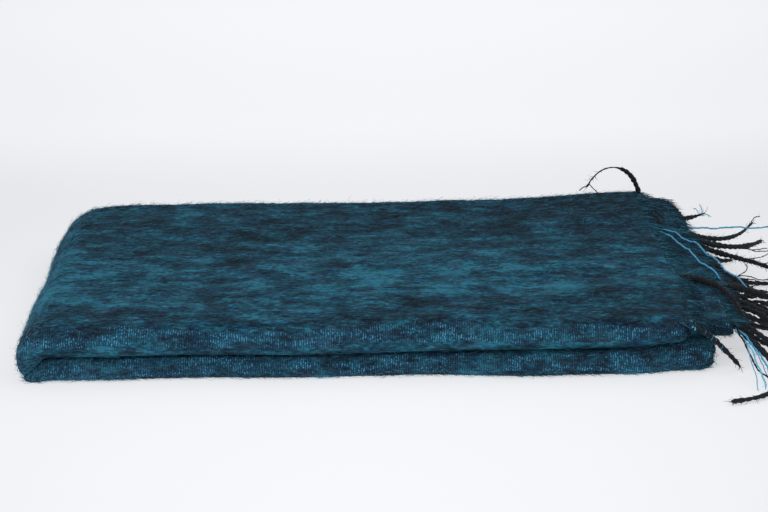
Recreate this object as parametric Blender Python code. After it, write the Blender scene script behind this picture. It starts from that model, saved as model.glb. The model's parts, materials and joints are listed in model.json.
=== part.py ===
"""A woolly woven shawl, folded into a flat pack that lies on a table, with a twisted
fringe at its right end.

The frame is metres, +Z up. X runs along the pack, with the fringe at +X, and the
front of the pack faces -Y. The origin is the middle of the underside of the whole
thing, fringe included. Sizes below are in millimetres, and MM turns them to metres.

How it is folded: across the middle, then twice along its length into a strip of
eight layers, then across the middle once more. So two halves of eight layers lie on
each other, joined by the turn at the left end. Both short ends of the cloth, with
their fringes, come out at the right end of the upper half."""

import math

import bmesh
import bpy
import numpy as np
from mathutils import Vector

MM = 0.001

# Place of the pack: its left end and its front, from the middle of the whole thing
PACK_LEFT = -308.05
PACK_FRONT = -112.76

# The folded pack
PACK_LENGTH = 500.0  # from the turn at the left to the cloth's outer end
PACK_DEPTH = 280.0
PACK_HEIGHT = 42.0
CREASE_HEIGHT = 17.5  # of the crease between the two halves
CREASE_RISES = (
    # start, end, rise
    (250.0, 350.0, 1.4),
    (440.0, 496.0, 3.8),
)
OUTER_DRAWN_IN = 7.0  # how far the outer end lies back at the front corner
OUTER_DRAWN_RUN = 60.0
CORNER_LIFT = 6.5  # of the cloth ends at the back right
LAYERS = 8  # of cloth in each half
SEAM = 0.3  # left between pieces that touch
LOWER_PAST_END = 16.0  # how far the lower half passes the outer end
LEFT_TURN_OVER = 26.0  # how far the turn rounds back at its top
LEFT_TURN_UNDER = 3.0
LEFT_NOSE = 0.29  # height of its furthest point, as a share
TURN_CREASE_LOW = 4.0  # where the crease ends, under the turn
TURN_CREASE_RUN = (5.0, 25.0)  # where it starts and ends its way down
LOWER_START = 3.6  # how far in from the turn the lower half starts
FRONT_FOLD_OVER = 16.0
FRONT_FOLD_UNDER = 10.0
FRONT_NOSE = 0.42
LOWER_FRONT_UNDER = 7.0  # how far the front rounds back at the table
BACK_FOLD_OVER = 8.0
BACK_FOLD_UNDER = 2.5
BACK_NOSE = 0.45
LOWER_BACK_UNDER = 6.0
UPPER_SWELL = 3.0  # how far each half's front stands out over the right third
LOWER_SWELL = 3.5
LAYER_GROOVE = 1.6  # depth of the grooves between cut or woven edges
LAYER_STAGGER = 1.0  # how far one layer's edge lies from the next
UPPER_END_EDGES = (1.2, 0.4)  # groove and stagger at the right ends
LOWER_END_EDGES = (2.0, 1.4)

# Corner radii seen from above
LEFT_FRONT_RADIUS = 13.0
LEFT_BACK_RADIUS = 26.0
RIGHT_RADIUS = 7.0

# The top: troughs over the hidden folds, and a ridge with a trough behind it that
# start at the front and run back to the right
TROUGHS = (
    # from front, sway, length of the sway, depth, width
    (96.0, 6.0, 90.0, 0.9, 16.0),
    (188.0, -5.0, 70.0, 0.9, 18.0),
)
RIDGES = (
    # from front, height, width
    (4.0, 2.2, 13.0),
    (32.0, -1.2, 15.0),
)
RIDGE_START = 270.0
RIDGE_RUN_IN = 90.0
RIDGE_SLOPE = 0.34  # to the back for each millimetre to the right
END_DIP = 1.6  # of the front half of the outer end

# The cloth's inner end, that comes out from between the layers of the upper half
INNER_TOP = 36.5
INNER_BOTTOM = 23.5
INNER_FRONT = 11.0
INNER_BACK = 276.0
INNER_DROP = 1.6  # how far its top sinks on the way out
INNER_LAYERS = 4
INNER_END_EDGES = (1.4, 0.7)
INNER_FRONT_OVER = 5.0
INNER_FRONT_UNDER = 4.0
INNER_REACH = (  # distance from the front, how far it passes the outer end
    (0.0, 25.0),
    (25.0, 28.0),
    (70.0, 32.0),
    (103.0, 31.5),
    (134.0, 28.0),
    (185.0, 27.5),
    (280.0, 21.5),
)

# Fringe: a strip beside each cloth end carries its tassels
STRIP_DEPTH = 3.0
OUTER_STRIP = (37.2, 40.4)  # bottom and top
OUTER_STRIP_SPAN = (2.0, 278.0)  # from the front
INNER_STRIP = (25.2, 28.8, 30.4, 34.0)  # bottom, top of the low row, high row, top
INNER_STRIP_SPAN = (14.0, 274.0)
STRAND_STEPS = 26
STEPS_PER_RING = 2
STRAND_TWIST = 24.0  # degrees from ring to ring
STRAND_WAVE = 7.0  # degrees that each strand's heading sways
STRAND_WAVE_LENGTH = 38.0
STRAND_GAP = 0.9  # between two strands
CLOTH_GAP = 0.5  # between a strand and the cloth ends or the strips
FLOOR_GAP = 0.8
SPREAD_ROUNDS = 90
HIGH, LOW = "high", "low"

# One row per strand. Along is its root's distance from the front. Turn is its
# heading at the root and the tip in degrees, 0 to the right and 90 to the back, and
# bow is what the heading gains half way. Rise is its slope at the root and the tip.
# Tip is the tip's width as a share of the root's.
OUTER_STRANDS = (
    # along, width, length, turn, bow, rise, tip
    (5.5, 4.2, 51.0, (-6, -4), 0, (-37, -50), 0.8),
    (92.0, 4.8, 88.0, (4, -84), -36, (0, -4), 0.6),
    (189.0, 2.8, 84.0, (-50, -90), -12, (0, 0), 0.7),
    (194.0, 1.2, 118.0, (-38, -46), -42, (0, -14), 1.0),
    (199.5, 1.2, 128.0, (-28, -52), -36, (2, -12), 1.0),
    (232.0, 3.4, 34.0, (-62, -96), 0, (2, 0), 0.7),
    (274.5, 4.2, 74.0, (168, 184), 0, (102, -84), 0.3),
)
INNER_STRANDS = (
    # along, row, width, length, turn, bow, rise, tip
    (15.2, LOW, 1.3, 58.0, (-54, -94), 0, (-14, -52), 1.0),
    (17.2, HIGH, 1.2, 66.0, (-86, -30), 0, (-26, -66), 1.0),
    (19.4, LOW, 1.3, 66.0, (-40, -104), 0, (-12, -54), 1.0),
    (23.5, LOW, 3.8, 136.0, (-2, -194), 0, (-36, -30), 0.9),
    (28.0, HIGH, 4.2, 84.0, (-16, -38), 0, (-26, -44), 0.8),
    (35.5, LOW, 4.0, 58.0, (-30, -58), 0, (-30, -48), 0.8),
    (42.0, HIGH, 4.4, 92.0, (-4, 14), 0, (-12, -40), 0.8),
    (48.5, LOW, 4.0, 78.0, (-12, -30), 0, (-48, -50), 0.8),
    (55.5, HIGH, 4.4, 74.0, (-30, -52), 0, (-8, -40), 0.8),
    (62.5, LOW, 4.0, 82.0, (4, 22), 0, (-44, -44), 0.8),
    (69.5, HIGH, 4.4, 90.0, (-40, 8), 0, (-8, -34), 0.7),
    (75.5, HIGH, 1.3, 70.0, (4, 42), 0, (-2, -12), 1.0),
    (81.5, LOW, 4.0, 66.0, (-8, -24), 0, (-50, -60), 0.8),
    (90.0, HIGH, 6.0, 62.0, (-42, -18), 0, (2, -6), 0.9),
    (97.5, LOW, 4.0, 74.0, (16, 40), 0, (-46, -40), 0.8),
    (106.0, HIGH, 4.2, 78.0, (-22, 6), 0, (-10, -36), 0.8),
    (116.0, LOW, 4.0, 62.0, (-8, 10), 0, (-58, -60), 0.8),
    (128.0, HIGH, 4.2, 66.0, (-30, -14), 0, (-26, -58), 0.8),
    (141.0, LOW, 4.0, 60.0, (6, -16), 0, (-58, -60), 0.8),
    (154.0, HIGH, 4.2, 70.0, (-26, 8), 0, (-34, -60), 0.8),
    (166.0, LOW, 4.0, 62.0, (-4, 18), 0, (-56, -60), 0.8),
    (174.0, LOW, 4.2, 76.0, (-14, -6), 0, (-34, -50), 0.8),
    (181.0, HIGH, 5.6, 84.0, (-80, -40), 0, (-12, -10), 0.7),
    (185.3, LOW, 2.6, 62.0, (-64, -46), 0, (-16, -24), 0.8),
    (189.0, HIGH, 4.4, 74.0, (-50, -26), 26, (-14, -12), 0.7),
    (192.7, LOW, 2.6, 58.0, (-60, -30), 0, (-18, -26), 0.8),
    (196.5, HIGH, 4.6, 84.0, (-66, 56), 18, (-10, -2), 0.8),
    (200.2, LOW, 2.5, 56.0, (-64, -20), 0, (-20, -30), 0.8),
    (204.0, HIGH, 4.6, 88.0, (-74, 64), 34, (-8, 8), 0.4),
    (210.0, HIGH, 1.3, 84.0, (12, 22), -30, (4, 0), 1.0),
    (218.0, LOW, 4.2, 62.0, (-16, 12), 0, (-52, -60), 0.8),
    (226.5, HIGH, 4.2, 30.0, (14, 40), 0, (4, 6), 0.4),
    (236.0, LOW, 4.2, 60.0, (-6, -30), 0, (-58, -74), 0.8),
    (245.0, LOW, 4.2, 56.0, (-20, -34), 0, (-66, -80), 0.8),
    (254.0, HIGH, 4.0, 52.0, (-24, -40), 0, (-62, -84), 0.8),
    (263.0, LOW, 4.0, 56.0, (-8, -26), 0, (-64, -82), 0.8),
    (270.5, HIGH, 4.2, 46.0, (-66, -88), 0, (4, -12), 0.8),
)

CLOTH_COLOUR = (0.022, 0.085, 0.125)
YARN_COLOUR = (0.010, 0.013, 0.014)


# Small sums


def to_frame(x, y, z):
    """Millimetres of the pack to metres of the frame."""
    return (x + PACK_LEFT) * MM, (y + PACK_FRONT) * MM, z * MM


def ease(share):
    """0 to 1, level at both ends."""
    share = min(1.0, max(0.0, share))
    return share * share * (3.0 - 2.0 * share)


def mix(start, end, share):
    return start + (end - start) * share


def read_table(rows, at):
    """The value at a place in a table of places and values, eased between rows."""
    for (before, low), (after, high) in zip(rows, rows[1:]):
        if at <= after:
            return mix(low, high, ease((at - before) / (after - before)))
    return rows[-1][1]


def ellipse_inset(share):
    return 1.0 - math.sqrt(max(0.0, 1.0 - share * share))


def fold_inset(height, nose, over, under):
    """How far a rounded fold lies back at a height from 0 to 1. Its nose is furthest out."""
    if height < nose:
        return under * ellipse_inset((nose - height) / nose)
    return over * ellipse_inset((height - nose) / (1.0 - nose))


def edges_inset(height, layers, groove, stagger):
    """How far a stack of layers' edges lies back: a groove between each two."""
    place = min(height, 0.9999) * layers
    layer = int(place)
    across = 2.0 * (place - layer) - 1.0
    return groove * ellipse_inset(across) + stagger * (0.5 + 0.5 * math.sin(2.4 * layer))


# The pack's outline and surfaces


def left_end(along):
    """X of the turn at the left, at a distance from the front."""
    return 1.2 * math.sin(along / 48.0) + 1.0 * math.sin(along / 21.0 + 1.0)


def outer_end(along):
    """X of the cloth's outer end, which is drawn in at its front corner."""
    drawn_in = OUTER_DRAWN_IN * max(0.0, 1.0 - max(0.0, along) / OUTER_DRAWN_RUN)
    return PACK_LENGTH + 0.8 * math.sin(along / 60.0) - 0.8 - drawn_in


def inner_end_x(along):
    return PACK_LENGTH + read_table(INNER_REACH, along)


def lower_end(along):
    """X of the fold across the middle of the shawl, at the lower half's right."""
    return PACK_LENGTH + LOWER_PAST_END + 1.2 * math.sin(along / 37.0)


def front_swell(x):
    """The front stands out a little over the right third, from 0 to 1."""
    return ease((x - 300.0) / 90.0) * (1.0 - ease((x - 450.0) / 46.0))


def front_line(x):
    """Y of the furthest point of the front, along the pack."""
    waves = 1.1 * math.sin(x / 53.0) + 0.7 * math.sin(x / 23.0 + 2.0)
    return waves - UPPER_SWELL * front_swell(x)


def back_line(x):
    return PACK_DEPTH + 1.3 * math.sin(x / 61.0 + 1.0) - 1.3


def crease_height(from_left):
    """The crease between the halves runs down at the turn and up at the right end."""
    start, end = TURN_CREASE_RUN
    height = CREASE_HEIGHT
    for rise_start, rise_end, rise in CREASE_RISES:
        height += rise * ease((from_left - rise_start) / (rise_end - rise_start))
    level = ease((from_left - start) / (end - start))
    return mix(TURN_CREASE_LOW, height, level)


def hill(distance, width):
    return math.exp(-((distance / width) ** 2))


def corner_lift(along):
    """How far both cloth ends lift towards the back right corner."""
    return CORNER_LIFT * ease((along - 150.0) / 120.0)


def top_height(x, y):
    """The top of the pack: nearly flat, with soft troughs over the hidden folds, a
    ridge across the front right, and a back right corner that lifts."""
    height = PACK_HEIGHT
    height += 0.5 * math.sin(x / 41.0 + y / 60.0) + 0.4 * math.sin(x / 67.0 - y / 33.0)
    for from_front, sway, sway_length, depth, width in TROUGHS:
        height -= depth * hill(y - from_front - sway * math.sin(x / sway_length), width)
    past_start = x - RIDGE_START
    for from_front, rise, width in RIDGES:
        off_line = y - from_front - RIDGE_SLOPE * past_start
        height += rise * ease(past_start / RIDGE_RUN_IN) * hill(off_line, width)
    height += ease((x - 380.0) / 118.0) * corner_lift(y)
    front_half = 1.0 - ease((y - 120.0) / 80.0)
    height -= END_DIP * ease((x - 470.0) / 30.0) * front_half
    return height


# Solids of cloth


def rounded(x, y, box, radii):
    """Moves a point of a rectangle into the same rectangle with round corners."""
    left, right, front, back = box
    for radius, corner_x, corner_y, out_x, out_y in (
        (radii[0], left, front, -1, -1),
        (radii[1], left, back, -1, 1),
        (radii[2], right, front, 1, -1),
        (radii[2], right, back, 1, 1),
    ):
        centre_x = corner_x - out_x * radius
        centre_y = corner_y - out_y * radius
        far_x = (x - centre_x) * out_x
        far_y = (y - centre_y) * out_y
        if far_x > 0.0 and far_y > 0.0:
            shrink = max(far_x, far_y) / math.hypot(far_x, far_y)
            return centre_x + out_x * far_x * shrink, centre_y + out_y * far_y * shrink
    return x, y


def stations(length):
    """Shares along the pack: close over the turn and at the right end, wide between."""
    close = [3.0 * n for n in range(9)]
    right = [length - back for back in (66.0, 55.0, 44.0, 33.0, 22.0, 12.0, 5.0, 0.0)]
    spans = 16
    middle = [mix(close[-1], right[0], n / spans) for n in range(1, spans)]
    return [x / length for x in close + middle + right]


def rows_across(depth):
    near = (0.0, 12.0, 30.0, OUTER_DRAWN_RUN, 100.0)
    return [y / depth for y in near] + [0.5] + [1.0 - y / depth for y in reversed(near)]


def layered_then_fold():
    """Heights of the rings: two to a layer below the middle, then round a fold."""
    low = [n / 16.0 for n in range(8)]
    high = [0.5 + 0.5 * math.sin(math.radians(18.0 * n)) for n in range(6)]
    return low + high


def block_of_cells(across, deep, high):
    """A closed block with square cells on its skin, one unit high for each level and
    one unit wide and deep in all. A grid is raised level by level."""
    mesh = bmesh.new()
    bmesh.ops.create_grid(mesh, x_segments=across, y_segments=deep, size=0.5)
    faces = mesh.faces[:]
    for level in range(high):
        raised = bmesh.ops.extrude_face_region(mesh, geom=faces)["geom"]
        if level > 0:
            bmesh.ops.delete(mesh, geom=faces, context="FACES_ONLY")
        points = [v for v in raised if isinstance(v, bmesh.types.BMVert)]
        faces = [f for f in raised if isinstance(f, bmesh.types.BMFace)]
        bmesh.ops.translate(mesh, verts=points, vec=(0.0, 0.0, 1.0))
    loose = [v for v in mesh.verts if not v.link_faces]
    bmesh.ops.delete(mesh, geom=loose, context="VERTS")
    wires = [e for e in mesh.edges if not e.link_faces]
    bmesh.ops.delete(mesh, geom=wires, context="EDGES")
    bmesh.ops.recalc_face_normals(mesh, faces=mesh.faces)
    return mesh


def lattice_solid(name, columns, rows, levels, place, material):
    """A grid raised level by level to a closed block of cells, whose points place puts
    where the cloth is. Columns, rows and levels are shares from 0 to 1."""
    mesh = block_of_cells(len(columns) - 1, len(rows) - 1, len(levels) - 1)
    cells = []
    for vertex in mesh.verts:
        column = round((vertex.co.x + 0.5) * (len(columns) - 1))
        row = round((vertex.co.y + 0.5) * (len(rows) - 1))
        cells.append((vertex, column, row, round(vertex.co.z)))
    for vertex, column, row, level in cells:
        x, y, z = place(columns[column], rows[row], levels[level])
        vertex.co = to_frame(x, y, z)
    return finish(name, mesh, material)


def finish(name, mesh, material):
    data = bpy.data.meshes.new(name)
    mesh.to_mesh(data)
    mesh.free()
    data.shade_smooth()
    data.set_sharp_from_angle(angle=math.radians(50.0))
    data.materials.append(material)
    thing = bpy.data.objects.new(name, data)
    bpy.context.scene.collection.objects.link(thing)
    return thing


def inside(u, v, box, radii):
    left, right, front, back = box
    return rounded(mix(left, right, u), mix(front, back, v), box, radii)


def upper_point(u, v, w):
    along = v * PACK_DEPTH
    x = mix(left_end(along), outer_end(along), u)
    from_left = x - left_end(along)
    crease_depth = mix(0.25, 1.0, ease(from_left / LEFT_TURN_OVER))
    under = FRONT_FOLD_UNDER * crease_depth
    front = fold_inset(w, FRONT_NOSE, FRONT_FOLD_OVER, under)
    if w < 0.5:
        back = edges_inset(w, LAYERS, LAYER_GROOVE, LAYER_STAGGER)
    else:
        back = fold_inset(2.0 * w - 1.0, BACK_NOSE, BACK_FOLD_OVER, BACK_FOLD_UNDER)
    left = fold_inset(w, LEFT_NOSE, LEFT_TURN_OVER, LEFT_TURN_UNDER)
    right = edges_inset(w, LAYERS, *UPPER_END_EDGES)
    box = (
        left_end(along) + left,
        outer_end(along) - right,
        front_line(x) + front,
        back_line(x) - back,
    )
    radii = (LEFT_FRONT_RADIUS, LEFT_BACK_RADIUS, RIGHT_RADIUS)
    x, y = inside(u, v, box, radii)
    low = crease_height(x - left_end(y)) + SEAM / 2.0
    return x, y, mix(low, top_height(x, y), w)


def lower_point(u, v, w):
    along = v * PACK_DEPTH
    x = mix(left_end(along), lower_end(along), u)
    thickness = min(1.0, crease_height(x - left_end(along)) / CREASE_HEIGHT)
    front = fold_inset(w, 0.5, FRONT_FOLD_UNDER, LOWER_FRONT_UNDER) * thickness
    if w > 0.5:
        back = edges_inset(w, LAYERS, LAYER_GROOVE, LAYER_STAGGER)
    else:
        back = fold_inset(2.0 * w, 0.5, BACK_FOLD_UNDER, LOWER_BACK_UNDER)
    right = edges_inset(w, LAYERS / 2, *LOWER_END_EDGES)
    box = (
        left_end(along) + LOWER_START,
        lower_end(along) - right,
        front_line(x) + 0.4 - LOWER_SWELL * front_swell(x) + front,
        back_line(x) - back * thickness,
    )
    radii = (LEFT_FRONT_RADIUS, LEFT_BACK_RADIUS, 2.0 * RIGHT_RADIUS)
    x, y = inside(u, v, box, radii)
    high = crease_height(x - left_end(y)) - SEAM / 2.0
    return x, y, high * w


def inner_point(u, v, w):
    along = mix(INNER_FRONT, INNER_BACK, v)
    start = outer_end(along) + SEAM
    end = inner_end_x(along) - edges_inset(w, INNER_LAYERS, *INNER_END_EDGES)
    front = fold_inset(w, 0.5, INNER_FRONT_OVER, INNER_FRONT_UNDER)
    back = edges_inset(w, INNER_LAYERS, LAYER_GROOVE, LAYER_STAGGER)
    y = mix(INNER_FRONT + front, INNER_BACK - back, v)
    high = INNER_TOP - INNER_DROP * ease(u) + corner_lift(y)
    low = INNER_BOTTOM + 0.6 * (ease(u) + corner_lift(y))
    return mix(start, end, u), y, mix(low, high, w)


# Fringe


def strand_route(root, width, length, turn, bow, rise):
    """Points along a strand, whose heading and slope change evenly from root to tip."""
    route = [Vector(root)]
    step = length / STRAND_STEPS
    for n in range(STRAND_STEPS):
        share = (n + 0.5) / STRAND_STEPS
        turns = share * length / STRAND_WAVE_LENGTH
        wave = STRAND_WAVE * math.sin(2.0 * math.pi * turns + root[1])
        heading = mix(turn[0], turn[1], share) + bow * math.sin(math.pi * share)
        heading = math.radians(heading + wave * min(1.0, 4.0 * share))
        slope = math.radians(mix(rise[0], rise[1], share))
        last = route[-1]
        lowest = width / 2.0 + FLOOR_GAP
        if slope < 0.0 and last.z + step * math.sin(slope) < lowest:
            slope = math.asin(max(-1.0, (lowest - last.z) / step))
        level = step * math.cos(slope)
        ahead = (level * math.cos(heading), level * math.sin(heading), step * math.sin(slope))
        route.append(last + Vector(ahead))
    return route


def outer_roots():
    """Root and sizes of each strand of the outer end."""
    bottom, top = OUTER_STRIP
    for along, width, length, turn, bow, rise, tip in OUTER_STRANDS:
        x = outer_end(along) + SEAM + STRIP_DEPTH
        z = (bottom + top) / 2.0 + corner_lift(along)
        yield (x, along, z), width, length, turn, bow, rise, tip


def inner_roots():
    low, low_top, high, high_top = INNER_STRIP
    for along, row, width, length, turn, bow, rise, tip in INNER_STRANDS:
        x = inner_end_x(along) + SEAM + STRIP_DEPTH
        z = (low + low_top) / 2.0 if row == LOW else (high + high_top) / 2.0
        z += 0.8 * corner_lift(along)
        yield (x, along, z), width, length, turn, bow, rise, tip


def widths_along(width, tip):
    """Full at the root, even for most of the way, and then down to the tip."""
    shares = [n / STRAND_STEPS for n in range(STRAND_STEPS + 1)]
    return [width * mix(1.0, tip, ease((s - 0.35) / 0.55)) for s in shares]


def keep_clear(point, radius, outer):
    """Lifts a point off the cloth under it and off the floor, and moves it out from the
    ends of the cloth beside it."""
    x, y, z = point
    z = max(z, radius + FLOOR_GAP)
    along = min(PACK_DEPTH, max(0.0, y))
    outer_clear = outer_end(along) + SEAM + STRIP_DEPTH + CLOTH_GAP + radius
    inner_clear = inner_end_x(along) + SEAM + STRIP_DEPTH + CLOTH_GAP + radius
    beside_pack = -radius < y < PACK_DEPTH + radius
    if outer:
        if x < outer_clear and z < OUTER_STRIP[1] + corner_lift(along) + radius + 1.0:
            x = outer_clear
        if x < inner_clear and INNER_FRONT - radius < y < INNER_BACK + radius:
            z = max(z, INNER_TOP + corner_lift(along) + radius + CLOTH_GAP)
    elif x < inner_clear and beside_pack and z < INNER_TOP + radius + 4.0:
        x = inner_clear
    return x, y, z


def near_pairs(samples, owner, need):
    """Which samples of different strands lie near each other."""
    apart = samples[:, None, :] - samples[None, :, :]
    near = (apart**2).sum(axis=2) < (need[:, None] + need[None, :] + 4.0) ** 2
    near &= owner[:, None] < owner[None, :]
    return np.nonzero(near)


def spread_apart(strands):
    """Strands that would run through each other push each other aside. Their points
    and the middles between those are tested."""
    points = np.array([[tuple(p) for p in route] for route, _, _ in strands])
    radii = np.array([[w / 2.0 for w in widths] for _, widths, _ in strands])
    count, length = radii.shape
    middle_radii = (radii[:, 1:] + radii[:, :-1]) / 2.0
    need = np.concatenate([radii, middle_radii], axis=1).ravel() + STRAND_GAP / 2.0
    owner = np.repeat(np.arange(count), 2 * length - 1)
    for turn in range(SPREAD_ROUNDS):
        middles = (points[:, 1:] + points[:, :-1]) / 2.0
        samples = np.concatenate([points, middles], axis=1).reshape(-1, 3)
        if turn % 8 == 0:
            one, other = near_pairs(samples, owner, need)
        apart = samples[one] - samples[other]
        distance = np.sqrt((apart**2).sum(axis=1)) + 1e-6
        push = 0.5 * np.maximum(need[one] + need[other] - distance, 0.0) / distance
        moves = np.zeros_like(samples)
        np.add.at(moves, one, apart * push[:, None])
        np.add.at(moves, other, -apart * push[:, None])
        moves = moves.reshape(count, 2 * length - 1, 3)
        step = moves[:, :length]
        step[:, 1:] += moves[:, length:]
        step[:, :-1] += moves[:, length:]
        step[:, :2] = 0.0
        points += np.clip(step, -1.0, 1.0)
        bend = np.zeros_like(points)
        bend[:, 2:-1] = points[:, 1:-2] + points[:, 3:] - 2.0 * points[:, 2:-1]
        points += 0.12 * bend
        for s, (_, _, outer) in enumerate(strands):
            for n in range(2, length):
                points[s, n] = keep_clear(points[s, n], radii[s, n], outer)
    return points


def ring(centre, ahead, side, radius, turned):
    """Four points round a strand."""
    across = ahead.cross(side)
    corners = []
    for n in range(4):
        angle = turned + math.pi * (0.25 + 0.5 * n)
        corners.append(centre + radius * (math.cos(angle) * side + math.sin(angle) * across))
    return corners


def grow_strand(mesh, face, route, widths):
    """Extrudes one face of a strip along a route, four sides all the way."""
    middle = face.calc_center_median()
    side = Vector((0.0, 1.0, 0.0))
    corners = [loop.vert.co - middle for loop in face.loops]
    first = Vector((1.0, 0.0, 0.0))
    starts = [math.atan2(c.dot(first.cross(side)), c.dot(side)) for c in corners]
    order = sorted(range(4), key=lambda n: starts[n] % (2.0 * math.pi))
    for n in range(STEPS_PER_RING, len(route), STEPS_PER_RING):
        centre = Vector(route[n])
        before = Vector(route[n - STEPS_PER_RING])
        after = Vector(route[min(n + STEPS_PER_RING, len(route) - 1)])
        ahead = (after - before).normalized()
        side = (side - ahead * side.dot(ahead)).normalized()
        turned = math.radians(STRAND_TWIST) * max(0, n / STEPS_PER_RING - 1)
        around = ring(centre, ahead, side, widths[n] / 2.0 * 1.1, turned)
        face = bmesh.ops.extrude_discrete_faces(mesh, faces=[face])["faces"][0]
        for place, loop in enumerate(face.loops):
            x, y, z = around[order.index(place)]
            loop.vert.co = to_frame(x, y, max(z, 0.3))


def fringe(name, levels, lift, root_x, span, strands, routes, material):
    """A narrow strip beside the cloth's edge, and the strands that grow from it. The
    strip is a row of cells, with one as wide as the strand at each root."""
    stops = {span[0], span[1], OUTER_DRAWN_RUN}
    for (_, along, _), width, *_ in strands:
        stops |= {along - width / 2.0, along + width / 2.0}
    stops = sorted(stops)
    mesh = block_of_cells(1, len(stops) - 1, len(levels) - 1)
    for vertex in mesh.verts:
        y = stops[round((vertex.co.y + 0.5) * (len(stops) - 1))]
        x = root_x(y) + SEAM + (STRIP_DEPTH if vertex.co.x > 0.0 else 0.0)
        z = levels[round(vertex.co.z)] + lift * corner_lift(y)
        vertex.co = (x, y, z)
    outer_faces = [f for f in mesh.faces if f.normal.x > 0.5]
    roots = []
    for root, *_ in strands:
        centre = Vector(root)
        roots.append(min(outer_faces, key=lambda f: (f.calc_center_median() - centre).length))
    strip_points = mesh.verts[:]
    grown = [(face, [tuple(p) for p in route]) for face, route in zip(roots, routes)]
    for (face, route), (_, width, _, _, _, _, tip) in zip(grown, strands):
        grow_strand(mesh, face, route, widths_along(width, tip))
    for vertex in strip_points:
        vertex.co = to_frame(*vertex.co)
    return finish(name, mesh, material)


def plain_material(name, colour, roughness, sheen):
    material = bpy.data.materials.new(name)
    material.use_nodes = True
    shader = material.node_tree.nodes["Principled BSDF"]
    shader.inputs["Base Color"].default_value = (*colour, 1.0)
    shader.inputs["Roughness"].default_value = roughness
    shader.inputs["Metallic"].default_value = 0.0
    shader.inputs["Sheen Weight"].default_value = sheen
    return material


def main():
    for thing in list(bpy.data.objects):
        bpy.data.objects.remove(thing)
    cloth = plain_material("brushed_wool", CLOTH_COLOUR, 0.95, 0.4)
    yarn = plain_material("twisted_yarn", YARN_COLOUR, 0.8, 0.1)

    rings = layered_then_fold()
    across = rows_across(PACK_DEPTH)
    columns = stations(PACK_LENGTH)
    lattice_solid("upper_fold", columns, across, rings, upper_point, cloth)
    flipped = [1.0 - height for height in reversed(rings)]
    lattice_solid("lower_fold", columns, across, flipped, lower_point, cloth)
    inner_columns = [0.0, 0.35, 0.7, 0.9, 1.0]
    inner_rings = [n / 6.0 for n in range(7)]
    knee = (OUTER_DRAWN_RUN - INNER_FRONT) / (INNER_BACK - INNER_FRONT)
    inner_rows = sorted([n / 24.0 for n in range(25)] + [knee])
    lattice_solid("inner_end", inner_columns, inner_rows, inner_rings, inner_point, cloth)

    outer = list(outer_roots())
    inner = list(inner_roots())
    strands = []
    for group, is_outer in ((outer, True), (inner, False)):
        for root, width, length, turn, bow, rise, tip in group:
            route = strand_route(root, width, length, turn, bow, rise)
            strands.append((route, widths_along(width, tip), is_outer))
    routes = spread_apart(strands)
    fringe(
        "fringe_outer_end", OUTER_STRIP, 1.0, outer_end, OUTER_STRIP_SPAN,
        outer, routes[: len(outer)], yarn,
    )
    fringe(
        "fringe_inner_end", INNER_STRIP, 0.8, inner_end_x, INNER_STRIP_SPAN,
        inner, routes[len(outer) :], yarn,
    )


main()
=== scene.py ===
"""Looks of a brushed woolly shawl, folded into a flat pack that lies on a table, with a
twisted fringe at its right end.

Lengths are in millimetres in the pack's own frame: x from the turn at the left, y from
the folded front, z up from the table. to_frame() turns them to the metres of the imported
solids. The cloth is dressed as thin skins on the form of the solids, with a nap of single
fibres, and the fringe follows the same strand routes as the solids do.
"""

import json
import math
from functools import partial

import bpy
import numpy as np
from mathutils import Matrix, Vector
from mathutils.noise import noise as soft_noise

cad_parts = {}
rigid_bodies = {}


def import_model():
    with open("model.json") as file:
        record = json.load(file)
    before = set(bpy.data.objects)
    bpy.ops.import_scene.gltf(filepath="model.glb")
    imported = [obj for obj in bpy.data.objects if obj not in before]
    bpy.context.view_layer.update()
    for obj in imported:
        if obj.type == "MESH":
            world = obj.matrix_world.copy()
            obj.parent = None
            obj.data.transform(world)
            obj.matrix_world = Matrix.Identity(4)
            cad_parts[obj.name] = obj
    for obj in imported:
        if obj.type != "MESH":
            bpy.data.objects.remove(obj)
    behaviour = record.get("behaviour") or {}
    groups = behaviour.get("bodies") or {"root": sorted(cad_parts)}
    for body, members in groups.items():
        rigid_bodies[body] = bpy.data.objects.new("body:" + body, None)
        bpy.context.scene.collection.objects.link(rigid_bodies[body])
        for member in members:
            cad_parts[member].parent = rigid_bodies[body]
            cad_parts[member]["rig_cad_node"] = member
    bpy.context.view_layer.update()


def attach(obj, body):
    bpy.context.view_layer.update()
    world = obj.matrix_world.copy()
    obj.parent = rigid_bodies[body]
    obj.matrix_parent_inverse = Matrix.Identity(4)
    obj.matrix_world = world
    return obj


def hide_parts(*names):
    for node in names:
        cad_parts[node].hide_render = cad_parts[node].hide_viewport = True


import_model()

bl_info = {
    "name": "Folded woolly shawl",
    "version": (1, 0, 0),
    "blender": (4, 5, 0),
    "location": "View3D > Sidebar > Shawl",
    "description": "Dresses the solids of a folded shawl in brushed wool and twisted fringe",
    "category": "Add Mesh",
}

MM = 0.001

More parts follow.
